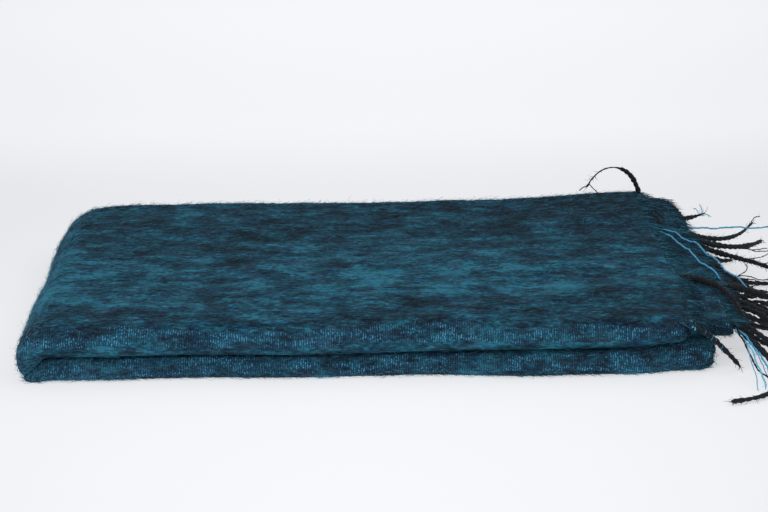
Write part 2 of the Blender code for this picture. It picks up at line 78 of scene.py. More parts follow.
# Place and size of the folded pack, as the solids have them
PACK_LEFT = -308.05
PACK_FRONT = -112.76
PACK_LENGTH = 500.0
PACK_DEPTH = 280.0
PACK_HEIGHT = 42.0
CREASE_HEIGHT = 17.5
CREASE_RISES = (
    # start, end, rise
    (250.0, 350.0, 1.4),
    (440.0, 496.0, 3.8),
)
OUTER_DRAWN_IN = 7.0
OUTER_DRAWN_RUN = 60.0
CORNER_LIFT = 6.5
LAYERS = 8
SEAM = 0.3
LOWER_PAST_END = 16.0
LEFT_TURN_OVER = 26.0
LEFT_TURN_UNDER = 3.0
LEFT_NOSE = 0.29
TURN_CREASE_LOW = 4.0
TURN_CREASE_RUN = (5.0, 25.0)
LOWER_START = 3.6
FRONT_FOLD_OVER = 16.0
FRONT_FOLD_UNDER = 10.0
FRONT_NOSE = 0.42
LOWER_FRONT_UNDER = 7.0
BACK_FOLD_OVER = 8.0
BACK_FOLD_UNDER = 2.5
BACK_NOSE = 0.45
LOWER_BACK_UNDER = 6.0
UPPER_SWELL = 3.0
LOWER_SWELL = 3.5
LAYER_GROOVE = 1.6
LAYER_STAGGER = 1.0
UPPER_END_EDGES = (1.2, 0.4)
LOWER_END_EDGES = (2.0, 1.4)
LEFT_FRONT_RADIUS = 13.0
LEFT_BACK_RADIUS = 26.0
RIGHT_RADIUS = 7.0

# The top: troughs over the hidden folds, and a ridge with a trough behind it that
# start at the front and run back to the right
TROUGHS = (
    # from front, sway, length of the sway, depth, width
    (96.0, 6.0, 90.0, 0.9, 16.0),
    (188.0, -5.0, 70.0, 0.9, 18.0),
)
RIDGES = (
    # from front, height, width
    (4.0, 2.2, 13.0),
    (32.0, -1.2, 15.0),
)
RIDGE_START = 270.0
RIDGE_RUN_IN = 90.0
RIDGE_SLOPE = 0.34  # to the back for each millimetre to the right
END_DIP = 1.6  # of the front half of the outer end

# The cloth's inner end, between the layers of the upper half
INNER_TOP = 36.5
INNER_BOTTOM = 23.5
INNER_FRONT = 11.0
INNER_BACK = 276.0
INNER_DROP = 1.6  # how far its top sinks on the way out
INNER_LAYERS = 4
INNER_END_EDGES = (1.4, 0.7)
INNER_FRONT_OVER = 5.0
INNER_FRONT_UNDER = 4.0
INNER_REACH = (  # distance from the front, how far it passes the outer end
    (0.0, 25.0),
    (25.0, 28.0),
    (70.0, 32.0),
    (103.0, 31.5),
    (134.0, 28.0),
    (185.0, 27.5),
    (280.0, 21.5),
)

# Fringe, as the solids have it
STRIP_DEPTH = 3.0
OUTER_STRIP = (37.2, 40.4)
OUTER_STRIP_SPAN = (2.0, 278.0)
INNER_STRIP = (25.2, 28.8, 30.4, 34.0)
INNER_STRIP_SPAN = (14.0, 274.0)
STRAND_STEPS = 26
STRAND_WAVE = 7.0
STRAND_WAVE_LENGTH = 38.0
STRAND_GAP = 0.9
CLOTH_GAP = 0.5
FLOOR_GAP = 0.8
SPREAD_ROUNDS = 90
HIGH, LOW = "high", "low"
BLACK, BLUE = "black", "blue"
THREAD_WIDTH = 2.0  # a strand thinner than this is a loose thread, not a tassel

OUTER_STRANDS = (
    # along, width, length, turn, bow, rise, tip
    (5.5, 4.2, 51.0, (-6, -4), 0, (-37, -50), 0.8),
    (92.0, 4.8, 88.0, (4, -84), -36, (0, -4), 0.6),
    (189.0, 2.8, 84.0, (-50, -90), -12, (0, 0), 0.7),
    (194.0, 1.2, 118.0, (-38, -46), -42, (0, -14), 1.0),
    (199.5, 1.2, 128.0, (-28, -52), -36, (2, -12), 1.0),
    (232.0, 3.4, 34.0, (-62, -96), 0, (2, 0), 0.7),
    (274.5, 4.2, 74.0, (168, 184), 0, (102, -84), 0.3),
)
INNER_STRANDS = (
    # along, row, width, length, turn, bow, rise, tip
    (15.2, LOW, 1.3, 58.0, (-54, -94), 0, (-14, -52), 1.0),
    (17.2, HIGH, 1.2, 66.0, (-86, -30), 0, (-26, -66), 1.0),
    (19.4, LOW, 1.3, 66.0, (-40, -104), 0, (-12, -54), 1.0),
    (23.5, LOW, 3.8, 136.0, (-2, -194), 0, (-36, -30), 0.9),
    (28.0, HIGH, 4.2, 84.0, (-16, -38), 0, (-26, -44), 0.8),
    (35.5, LOW, 4.0, 58.0, (-30, -58), 0, (-30, -48), 0.8),
    (42.0, HIGH, 4.4, 92.0, (-4, 14), 0, (-12, -40), 0.8),
    (48.5, LOW, 4.0, 78.0, (-12, -30), 0, (-48, -50), 0.8),
    (55.5, HIGH, 4.4, 74.0, (-30, -52), 0, (-8, -40), 0.8),
    (62.5, LOW, 4.0, 82.0, (4, 22), 0, (-44, -44), 0.8),
    (69.5, HIGH, 4.4, 90.0, (-40, 8), 0, (-8, -34), 0.7),
    (75.5, HIGH, 1.3, 70.0, (4, 42), 0, (-2, -12), 1.0),
    (81.5, LOW, 4.0, 66.0, (-8, -24), 0, (-50, -60), 0.8),
    (90.0, HIGH, 6.0, 62.0, (-42, -18), 0, (2, -6), 0.9),
    (97.5, LOW, 4.0, 74.0, (16, 40), 0, (-46, -40), 0.8),
    (106.0, HIGH, 4.2, 78.0, (-22, 6), 0, (-10, -36), 0.8),
    (116.0, LOW, 4.0, 62.0, (-8, 10), 0, (-58, -60), 0.8),
    (128.0, HIGH, 4.2, 66.0, (-30, -14), 0, (-26, -58), 0.8),
    (141.0, LOW, 4.0, 60.0, (6, -16), 0, (-58, -60), 0.8),
    (154.0, HIGH, 4.2, 70.0, (-26, 8), 0, (-34, -60), 0.8),
    (166.0, LOW, 4.0, 62.0, (-4, 18), 0, (-56, -60), 0.8),
    (174.0, LOW, 4.2, 76.0, (-14, -6), 0, (-34, -50), 0.8),
    (181.0, HIGH, 5.6, 84.0, (-80, -40), 0, (-12, -10), 0.7),
    (185.3, LOW, 2.6, 62.0, (-64, -46), 0, (-16, -24), 0.8),
    (189.0, HIGH, 4.4, 74.0, (-50, -26), 26, (-14, -12), 0.7),
    (192.7, LOW, 2.6, 58.0, (-60, -30), 0, (-18, -26), 0.8),
    (196.5, HIGH, 4.6, 84.0, (-66, 56), 18, (-10, -2), 0.8),
    (200.2, LOW, 2.5, 56.0, (-64, -20), 0, (-20, -30), 0.8),
    (204.0, HIGH, 4.6, 88.0, (-74, 64), 34, (-8, 8), 0.4),
    (210.0, HIGH, 1.3, 84.0, (12, 22), -30, (4, 0), 1.0),
    (218.0, LOW, 4.2, 62.0, (-16, 12), 0, (-52, -60), 0.8),
    (226.5, HIGH, 4.2, 30.0, (14, 40), 0, (4, 6), 0.4),
    (236.0, LOW, 4.2, 60.0, (-6, -30), 0, (-58, -74), 0.8),
    (245.0, LOW, 4.2, 56.0, (-20, -34), 0, (-66, -80), 0.8),
    (254.0, HIGH, 4.0, 52.0, (-24, -40), 0, (-62, -84), 0.8),
    (263.0, LOW, 4.0, 56.0, (-8, -26), 0, (-64, -82), 0.8),
    (270.5, HIGH, 4.2, 46.0, (-66, -88), 0, (4, -12), 0.8),
)
BLUE_THREADS = (194.0, 199.5, 15.2, 19.4, 210.0)  # by their root's distance along

ON_CLOTH = (92.0, 189.0)  # tassels that lie on the cloth, which is brushed over them
FUZZ_ON_CLOTH = 4.0

# Loose fibres that branch off a tassel. Share is how far along it, and the rest is as
# for the strands.
BRANCHES = (
    # along, share, width, length, turn, bow, rise, colour
    (274.5, 0.99, 0.8, 22.0, (-30, 10), 0, (-50, -6), BLACK),
    (274.5, 0.96, 0.8, 14.0, (-170, -200), 0, (-66, -20), BLACK),
    (226.5, 0.86, 0.7, 13.0, (60, 110), 0, (40, 10), BLUE),
    (226.5, 0.80, 0.7, 11.0, (20, -30), 0, (6, -26), BLUE),
    (226.5, 0.74, 0.6, 9.0, (90, 130), 0, (44, 10), BLUE),
    (204.0, 0.97, 0.8, 14.0, (70, -60), 50, (26, 6), BLACK),
    (196.5, 0.50, 0.8, 34.0, (-30, 56), -20, (0, -4), BLACK),
    (196.5, 0.62, 0.7, 32.0, (-52, 30), -10, (2, 0), BLACK),
    (189.0, 0.55, 0.8, 42.0, (-50, 50), -20, (4, -4), BLACK),
    (189.0, 0.66, 0.7, 34.0, (-10, 70), 0, (8, -6), BLACK),
    (189.0, 0.80, 0.7, 34.0, (-70, 60), -30, (2, 2), BLACK),
    (181.0, 0.90, 0.9, 34.0, (-10, 190), 30, (8, 0), BLACK),
    (181.0, 0.72, 0.8, 38.0, (20, 96), 0, (10, -4), BLACK),
    (181.0, 0.60, 0.8, 44.0, (-60, -10), 40, (-4, -10), BLACK),
    (90.0, 0.92, 1.6, 20.0, (-16, 12), 0, (-4, -12), BLUE),
    (106.0, 0.60, 0.8, 40.0, (-30, -86), 0, (-14, -20), BLACK),
    (69.5, 0.50, 0.8, 52.0, (-60, -10), 20, (-20, -24), BLACK),
    (55.5, 0.60, 0.8, 46.0, (20, 70), 0, (-10, -14), BLACK),
    (42.0, 0.50, 0.8, 50.0, (-60, -20), 0, (-22, -26), BLACK),
    (42.0, 0.70, 0.8, 34.0, (30, 80), 0, (-10, -20), BLACK),
    (28.0, 0.50, 0.8, 50.0, (-50, 40), 0, (-30, -10), BLACK),
    (19.4, 0.30, 0.7, 40.0, (-80, -60), 0, (-30, -40), BLUE),
    (19.4, 0.90, 0.7, 10.0, (-30, 10), 0, (0, 0), BLUE),
    (15.2, 0.25, 0.7, 44.0, (-84, -90), 0, (-24, -44), BLUE),
    (5.5, 0.00, 0.9, 6.0, (-110, -60), 0, (-30, -60), BLUE),
    (5.5, 0.04, 0.9, 5.0, (-60, -140), 0, (-60, -50), BLUE),
    (5.5, 0.00, 0.8, 7.0, (150, 190), 0, (10, -10), BLUE),
)

# Soft creases of the top: middle, half length along the run, half
# width across it, heading in degrees, height (a trough is below 0)
TOP_CREASES = (
    # x, y, half length, half width, heading, height
    (96.0, 60.0, 70.0, 9.0, 8.0, -0.7),
    (70.0, 150.0, 60.0, 12.0, 96.0, -0.6),
    (150.0, 205.0, 90.0, 10.0, -6.0, 0.6),
    (230.0, 120.0, 110.0, 12.0, 5.0, 0.7),
    (262.0, 34.0, 80.0, 8.0, -7.0, -0.8),
    (330.0, 170.0, 80.0, 9.0, 11.0, -0.7),
    (352.0, 240.0, 70.0, 9.0, -9.0, -0.6),
    (410.0, 90.0, 50.0, 8.0, 21.0, -0.7),
    (432.0, 214.0, 60.0, 10.0, 16.0, 0.9),
    (470.0, 140.0, 34.0, 9.0, 70.0, -0.8),
    (478.0, 52.0, 26.0, 8.0, -40.0, 0.7),
    (180.0, 262.0, 120.0, 8.0, 2.0, -0.6),
)
# Soft waves of the sides: how far along the edge, half length, depth
SIDE_CREASES = (
    # along, half length, depth
    (38.0, 11.0, -0.9),
    (86.0, 16.0, 0.5),
    (131.0, 9.0, -0.6),
    (188.0, 18.0, 0.6),
    (236.0, 12.0, -0.8),
    (301.0, 20.0, 0.5),
    (349.0, 10.0, -0.6),
    (402.0, 15.0, 0.6),
    (447.0, 10.0, -0.9),
)

# The skins' meshes. A lattice has, for its columns and its rows, a length, the stretch at
# each end where the steps are close, the close step and the wide step.
SKIN_THICKNESS = 1.4
TOP, BOTTOM, FRONT, BACK, LEFT, RIGHT = range(6)
UPPER_LATTICE = (PACK_LENGTH, 24.0, 1.6, 3.6), (PACK_DEPTH, 12.0, 2.0, 4.2)
LOWER_LATTICE = (PACK_LENGTH, 24.0, 1.6, 3.6), (PACK_DEPTH, 12.0, 3.0, 12.0)
INNER_LATTICE = (36.0, 4.0, 1.0, 2.4), (265.0, 6.0, 1.5, 3.0)
HALF_LEVELS = 16
# Small lumps of the cloth between its creases
UPPER_LUMPS = (
    # size, height, shift of the noise
    (24.0, 0.5, 3.0),
    (9.0, 0.28, 8.0),
)
LOWER_LUMPS = ((21.0, 0.5, 31.0), (8.0, 0.28, 17.0))
INNER_LUMPS = ((16.0, 0.5, 51.0), (7.0, 0.3, 27.0))

# Single fibres: length, width and spread of the curl, and how many there are
NAP_FIBRE = (3.0, 9.0), (0.16, 0.32), 1.1
HAZE_FIBRE = (2.5, 9.0), (0.10, 0.20), 1.6
EDGE_FIBRE = (8.0, 20.0), (0.3, 0.6), 1.3
LOWER_NAP, INNER_NAP, UPPER_HAZE, LOWER_HAZE = 5200, 2200, 6500, 3000
# Where the bare weave shows on the rolls: the levels, from 0 at a roll's lowest place to 1
# at its highest, at which it starts and ends, each with its fade, and how bare the back
# and the ends are
UPPER_BARE_LEVELS = (0.36, 0.10, 0.80, 0.16)
LOWER_BARE_LEVELS = (0.18, 0.14)
BACK_BARE, END_BARE, LOWER_END_BARE = 0.7, 0.6, 0.5
# How brushed the inner end is, at the front and at the back, and where it changes
INNER_BRUSHED = (0.05, 0.85)
INNER_NAP_RUN = (52.0, 60.0)
NAP_TURN = 0.46  # spread of the nap's heading, in radians
NAP_TO_LEFT = 0.3  # share of the fibres that lie to the left
LOOSE_SHARE = 0.07  # fibres that stand off the nap, as a share of all
LOOSE_LIFT = 3.2  # how much higher they stand
LEAST_HEIGHT = 0.25  # of a fibre's spine above the table
# Where the nap and the haze are thicker or thinner: bands at the left and the back, the
# heights of the bare rolls, how far from the front the inner end is bare, the height up
# to which the lower half's haze is thick, and the corner where it is thickest
NAP_LEFT_BAND, NAP_BACK_BAND = 24.0, 18.0
HAZE_LEFT_BAND, HAZE_BACK_BAND = 20.0, 14.0
BARE_ROLL, LOWER_BARE_ROLL = (29.0, 39.5), 4.5
INNER_BARE = 70.0
LOW_HAZE, HAZY_CORNER = 7.0, (90.0, 30.0)
NAP_SEED = 11
FRINGE_SEED = 5
# The fibres brushed off the two ends of the cloth: how far back from the end and from
# where to where along it their roots are, how many, their heading, and two seeds
OUTER_EDGE_NAP = (-1.0, 8.0), (4.0, 276.0), 5200, (1.0, 0.0, -0.30), (21, 22)
INNER_EDGE_NAP = (0.0, 9.0), (16.0, 272.0), 2400, (1.0, 0.0, -0.25), (23, 24)

# The woven edges that the tassels grow from: how far they lie back in the cloth and
# down, their sides and the points along them
LIP_BACK = 1.1
LIP_DOWN = 0.5
LIP_SIDES = 10
LIP_STEPS = 180

# The tassels' yarn: sides of a tube, its frayed tip and its loose hairs. A hair's or a
# fray's radius is given at its root and at its tip.
PLY_VALLEY, PLY_ROUNDNESS = 0.60, 0.8  # share of the radius left between two plies
TASSEL_SIDES = 10
TASSEL_FULLNESS = 1.12  # makes up for the grooves
TASSEL_TIP = (0.9, 0.75, 0.55, 0.3)  # what the last radii are multiplied by
FINE_TIP = 0.35  # a tassel with a thinner tip than this thins out over a shorter run
FINE_TIP_RUN = (0.38, 0.16)  # where it starts to thin and over how much of its length
TIP_RUN = (0.35, 0.55)
FRAYS = 5
FRAY_LENGTH, FRAY_RADIUS = (3.0, 9.0), (0.28, 0.10)
HAIR_LENGTH, HAIR_RADIUS = (1.8, 5.5), (0.20, 0.08)
THREAD_SIDES = 6
THREAD_TIP = (0.85, 0.6, 0.3)
THREAD_WRIGGLES = (
    # wave length, reach
    (31.0, 0.9),
    (13.0, 0.35),
    (5.0, 0.12),
)
THREAD_HAIR_SPACING = 9
THREAD_HAIR_LENGTH, THREAD_HAIR_RADIUS = (1.5, 4.0), (0.13, 0.06)
# The blue thread that winds round the front tassel of the outer end
WOUND_TASSEL = 5.5  # its root's distance along
WINDING_SHARE = 0.62  # of the tassel's length
WINDING_STEP = 0.6
WINDING_PITCH = 3.2
WINDING_RADIUS = 0.19

# Painted light and shade in the wool's tone, from the front to the back, where the light falls
# on the nap and the rolls; and how much darker the wool is towards the left edge and the right
# end
PAINTED_LIGHT_ACROSS = (
    # from front, tone
    (-6.0, 0.02),
    (9.0, -0.11),
    (44.0, -0.09),
    (70.0, 0.12),
    (112.0, 0.11),
    (160.0, 0.00),
    (208.0, -0.13),
    (250.0, -0.19),
    (290.0, -0.12),
)
SHADES_ALONG = (
    # from left, tone
    (-5.0, -0.06),
    (40.0, 0.0),
    (400.0, 0.0),
    (440.0, -0.07),
    (492.0, -0.08),
    (512.0, -0.10),
    (545.0, -0.12),
)
# The wool's mixed colours: clouds of noise, how much each of them counts, and the tones
# at which the colours stand, from the darkest to the lightest
WOOL_GRAINS = (
    # weight, length, width, detail, shift of the noise
    (2.0, 30.0, 15.0, 4.0, 0.0),
    (0.7, 130.0, 80.0, 1.0, 5.0),
    (1.1, 10.0, 3.6, 3.0, 7.0),
    (1.5, 4.0, 1.7, 2.0, 13.0),
)
MIDDLE_TONE = -2.09
TONE_STOPS = (0.14, 0.34, 0.52, 0.72, 0.96)
SHADE_DRIFT = 50.0  # how far the shades above wander
SHADE_DRIFT_GRAIN = (60.0, 40.0, 2.0, 71.0)
# Patches of the wool that are tinted blue, purple and green
TINT_PATCHES = (
    # length, width, shift of the noise, share
    (20.0, 7.0, 21.0, 0.60),
    (24.0, 10.0, 33.0, 0.95),
    (30.0, 12.0, 47.0, 0.60),
)
TINT_EDGE = (0.50, 0.66)  # the noise where a tint starts and where it is full
# The bare weave: how its ribs sway, its dots, and the patches where they are bright
RIB_SWAY_GRAIN = (12.0, 9.0, 2.0, 3.0)
RIB_SMALL_SWAY_GRAIN = (3.2, 3.2, 1.0, 9.0)
DOTS_PER_RIB = 1.05
LIT_GRAIN = (22.0, 7.0, 2.0, 61.0)
LIT_EDGE = (0.42, 0.64)  # the noise where the dots start to be bright and where they are
NAP_EDGE = (0.22, 0.78)  # how brushed the cloth is where the nap starts to hide the weave
# The yarns: length in mm of the fibres that show along the twist, and sheen
BLACK_YARN = (2.5, 0.12)
BLUE_YARN = (1.2, 0.3)
YARN_LINES = 5.0  # fibres that show round the yarn

# The table's own light, that fades a little to a band behind the shawl and to the sides
TABLE_SIZE = 30.0  # in metres
TABLE_FADES = (
    # from, to (back from the frame's middle, in metres), change of the glow
    (-0.15, 0.29, -0.085),
    (0.29, 0.56, 0.10),
    (0.56, 1.16, 0.05),
)
TABLE_NEAR = 1.2  # from the camera to the middle of the frame, in metres
NEAREST = 0.5  # from the camera, in metres, for the fade to the sides
TABLE_SHIFT = 0.04  # how far left the lightest place is, in metres
ASIDE_FADE = -0.80
ASIDE_MOST = 0.12  # where the fade to the sides ends

# Lights: place and size in metres, and share of the key light's power
KEY_LIGHT = ((-1.1, -1.3, 1.7), 1.6, 1.0)
FILL_LIGHT = ((1.3, 0.4, 1.6), 1.4, 0.3)
ROOM_COLOUR = "#f4f6fa"

CAMERA_PLACE = (-1.0, -1059.5, 508.1)  # from the middle of the pack's front, mm
CAMERA_YAW, CAMERA_PITCH, CAMERA_ROLL = 1.2, 21.23, -0.46  # degrees
CAMERA_LENS = 75.0
CAMERA_SENSOR = 36.0
CAMERA_CLIPS = (0.02, 60.0)


# Small sums


def ease(share):
    share = min(1.0, max(0.0, share))
    return share * share * (3.0 - 2.0 * share)


def mix(start, end, share):
    return start + (end - start) * share


def read_table(rows, at):
    for (before, low), (after, high) in zip(rows, rows[1:]):
        if at <= after:
            return mix(low, high, ease((at - before) / (after - before)))
    return rows[-1][1]


def hill(distance, width):
    return math.exp(-((distance / width) ** 2))


def linear(colour):
    """An sRGB hex colour as the linear values that a socket takes."""
    values = [int(colour[n : n + 2], 16) / 255.0 for n in (1, 3, 5)]
    steps = [v / 12.92 if v <= 0.04045 else ((v + 0.055) / 1.055) ** 2.4 for v in values]
    return (*steps, 1.0)


def to_frame(points):
    """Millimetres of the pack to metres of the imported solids."""
    return (np.asarray(points, float) + (PACK_LEFT, PACK_FRONT, 0.0)) * MM


def from_frame(points):
    return np.asarray(points, float) / MM - (PACK_LEFT, PACK_FRONT, 0.0)


# The form of the folded cloth, the same as the solids'


def ellipse_inset(share):
    return 1.0 - math.sqrt(max(0.0, 1.0 - share * share))


def fold_inset(height, nose, over, under):
    if height < nose:
        return under * ellipse_inset((nose - height) / nose)
    return over * ellipse_inset((height - nose) / (1.0 - nose))


def edges_inset(height, layers, groove, stagger):
    place = min(height, 0.9999) * layers
    layer = int(place)
    across = 2.0 * (place - layer) - 1.0
    return groove * ellipse_inset(across) + stagger * (0.5 + 0.5 * math.sin(2.4 * layer))


def left_end(along):
    return 1.2 * math.sin(along / 48.0) + 1.0 * math.sin(along / 21.0 + 1.0)


def outer_end(along):
    drawn_in = OUTER_DRAWN_IN * max(0.0, 1.0 - max(0.0, along) / OUTER_DRAWN_RUN)
    return PACK_LENGTH + 0.8 * math.sin(along / 60.0) - 0.8 - drawn_in


def inner_end_x(along):
    return PACK_LENGTH + read_table(INNER_REACH, along)


def lower_end(along):
    return PACK_LENGTH + LOWER_PAST_END + 1.2 * math.sin(along / 37.0)


def front_swell(x):
    return ease((x - 300.0) / 90.0) * (1.0 - ease((x - 450.0) / 46.0))


def front_line(x):
    waves = 1.1 * math.sin(x / 53.0) + 0.7 * math.sin(x / 23.0 + 2.0)
    return waves - UPPER_SWELL * front_swell(x)


def back_line(x):
    return PACK_DEPTH + 1.3 * math.sin(x / 61.0 + 1.0) - 1.3


def crease_height(from_left):
    start, end = TURN_CREASE_RUN
    height = CREASE_HEIGHT
    for rise_start, rise_end, rise in CREASE_RISES:
        height += rise * ease((from_left - rise_start) / (rise_end - rise_start))
    level = ease((from_left - start) / (end - start))
    return mix(TURN_CREASE_LOW, height, level)


def corner_lift(along):
    return CORNER_LIFT * ease((along - 150.0) / 120.0)


def top_height(x, y):
    height = PACK_HEIGHT
    height += 0.5 * math.sin(x / 41.0 + y / 60.0) + 0.4 * math.sin(x / 67.0 - y / 33.0)
    for from_front, sway, sway_length, depth, width in TROUGHS:
        height -= depth * hill(y - from_front - sway * math.sin(x / sway_length), width)
    past_start = x - RIDGE_START
    for from_front, rise, width in RIDGES:
        off_line = y - from_front - RIDGE_SLOPE * past_start
        height += rise * ease(past_start / RIDGE_RUN_IN) * hill(off_line, width)
    height += ease((x - 380.0) / 118.0) * corner_lift(y)
    front_half = 1.0 - ease((y - 120.0) / 80.0)
    height -= END_DIP * ease((x - 470.0) / 30.0) * front_half
    return height


def rounded(x, y, box, radii):
    left, right, front, back = box
    for radius, corner_x, corner_y, out_x, out_y in (
        (radii[0], left, front, -1, -1),
        (radii[1], left, back, -1, 1),
        (radii[2], right, front, 1, -1),
        (radii[2], right, back, 1, 1),
    ):
        centre_x = corner_x - out_x * radius
        centre_y = corner_y - out_y * radius
        far_x = (x - centre_x) * out_x
        far_y = (y - centre_y) * out_y
        if far_x > 0.0 and far_y > 0.0:
            shrink = max(far_x, far_y) / math.hypot(far_x, far_y)
            return centre_x + out_x * far_x * shrink, centre_y + out_y * far_y * shrink
    return x, y


def inside(u, v, box, radii):
    left, right, front, back = box
    return rounded(mix(left, right, u), mix(front, back, v), box, radii)


def upper_point(u, v, w):
    along = v * PACK_DEPTH
    x = mix(left_end(along), outer_end(along), u)
    from_left = x - left_end(along)
    crease_depth = mix(0.25, 1.0, ease(from_left / LEFT_TURN_OVER))
    under = FRONT_FOLD_UNDER * crease_depth
    front = fold_inset(w, FRONT_NOSE, FRONT_FOLD_OVER, under)
    if w < 0.5:
        back = edges_inset(w, LAYERS, LAYER_GROOVE, LAYER_STAGGER)
    else:
        back = fold_inset(2.0 * w - 1.0, BACK_NOSE, BACK_FOLD_OVER, BACK_FOLD_UNDER)
    left = fold_inset(w, LEFT_NOSE, LEFT_TURN_OVER, LEFT_TURN_UNDER)
    right = edges_inset(w, LAYERS, *UPPER_END_EDGES)
    box = (
        left_end(along) + left,
        outer_end(along) - right,
        front_line(x) + front,
        back_line(x) - back,
    )
    radii = (LEFT_FRONT_RADIUS, LEFT_BACK_RADIUS, RIGHT_RADIUS)
    x, y = inside(u, v, box, radii)
    low = crease_height(x - left_end(y)) + SEAM / 2.0
    return x, y, mix(low, top_height(x, y), w)


def lower_point(u, v, w):
    along = v * PACK_DEPTH
    x = mix(left_end(along), lower_end(along), u)
    thickness = min(1.0, crease_height(x - left_end(along)) / CREASE_HEIGHT)
    front = fold_inset(w, 0.5, FRONT_FOLD_UNDER, LOWER_FRONT_UNDER) * thickness
    if w > 0.5:
        back = edges_inset(w, LAYERS, LAYER_GROOVE, LAYER_STAGGER)
    else:
        back = fold_inset(2.0 * w, 0.5, BACK_FOLD_UNDER, LOWER_BACK_UNDER)
    right = edges_inset(w, LAYERS / 2, *LOWER_END_EDGES)
    box = (
        left_end(along) + LOWER_START,
        lower_end(along) - right,
        front_line(x) + 0.4 - LOWER_SWELL * front_swell(x) + front,
        back_line(x) - back * thickness,
    )
    radii = (LEFT_FRONT_RADIUS, LEFT_BACK_RADIUS, 2.0 * RIGHT_RADIUS)
    x, y = inside(u, v, box, radii)
    high = crease_height(x - left_end(y)) - SEAM / 2.0
    return x, y, high * w


def inner_point(u, v, w):
    along = mix(INNER_FRONT, INNER_BACK, v)
    start = outer_end(along) + SEAM
    end = inner_end_x(along) - edges_inset(w, INNER_LAYERS, *INNER_END_EDGES)
    front = fold_inset(w, 0.5, INNER_FRONT_OVER, INNER_FRONT_UNDER)
    back = edges_inset(w, INNER_LAYERS, LAYER_GROOVE, LAYER_STAGGER)
    y = mix(INNER_FRONT + front, INNER_BACK - back, v)
    high = INNER_TOP - INNER_DROP * ease(u) + corner_lift(y)
    low = INNER_BOTTOM + 0.6 * (ease(u) + corner_lift(y))
    return mix(start, end, u), y, mix(low, high, w)


# Meshes


def mesh_piece(name, points, quads, triangles, material, uv_name=None, uvs=None):
    """A mesh object from arrays of points (mm), quads and triangles, with a UV pair for
    each corner in the same order."""
    points = to_frame(points)
    quads = np.asarray(quads, np.int32).reshape(-1, 4)
    triangles = np.asarray(triangles, np.int32).reshape(-1, 3)
    corners = np.concatenate([quads.ravel(), triangles.ravel()]).astype(np.int32)
    totals = np.concatenate([np.full(len(quads), 4), np.full(len(triangles), 3)])
    starts = np.concatenate([[0], np.cumsum(totals)[:-1]]).astype(np.int32)
    data = bpy.data.meshes.new(name)
    data.vertices.add(len(points))
    data.vertices.foreach_set("co", points.astype(np.float32).ravel())
    data.loops.add(len(corners))
    data.loops.foreach_set("vertex_index", corners)
    data.polygons.add(len(totals))
    data.polygons.foreach_set("loop_start", starts)
    if uv_name:
        layer = data.uv_layers.new(name=uv_name)
        layer.data.foreach_set("uv", np.asarray(uvs, np.float32).ravel())
    data.update(calc_edges=True)
    data.validate()
    data.materials.append(material)
    data.shade_smooth()
    thing = bpy.data.objects.new(name, data)
    bpy.context.scene.collection.objects.link(thing)
    return thing


def point_values(data, name, values):
    layer = data.attributes.new(name, "FLOAT", "POINT")
    layer.data.foreach_set("value", np.asarray(values, np.float32))


def face_values(data, name, values):
    layer = data.attributes.new(name, "INT", "FACE")
    layer.data.foreach_set("value", np.asarray(values, np.int32))


def steps_along(length, near, near_step, middle_step):
    """Shares of a length: close steps over the first and last stretch, wide between."""
    close = np.arange(0.0, near, near_step)
    count = int(round((length - 2.0 * near) / middle_step))
    middle = np.linspace(near, length - near, count + 1)
    return np.concatenate([close, middle, length - close[::-1]]) / length


def crease_relief(x, y):
    """The listed soft creases of the top."""
    height = 0.0
    for centre_x, centre_y, half_length, half_width, heading, size in TOP_CREASES:
        angle = math.radians(heading)
        far_x, far_y = x - centre_x, y - centre_y
        run = far_x * math.cos(angle) + far_y * math.sin(angle)
        off = far_y * math.cos(angle) - far_x * math.sin(angle)
        off += 0.10 * half_width * math.sin(run / 9.0) + 0.0006 * run * run
        height += size * hill(run, half_length) * hill(off, half_width)
    return height


def side_relief(along):
    return sum(size * hill(along - centre, half) for centre, half, size in SIDE_CREASES)


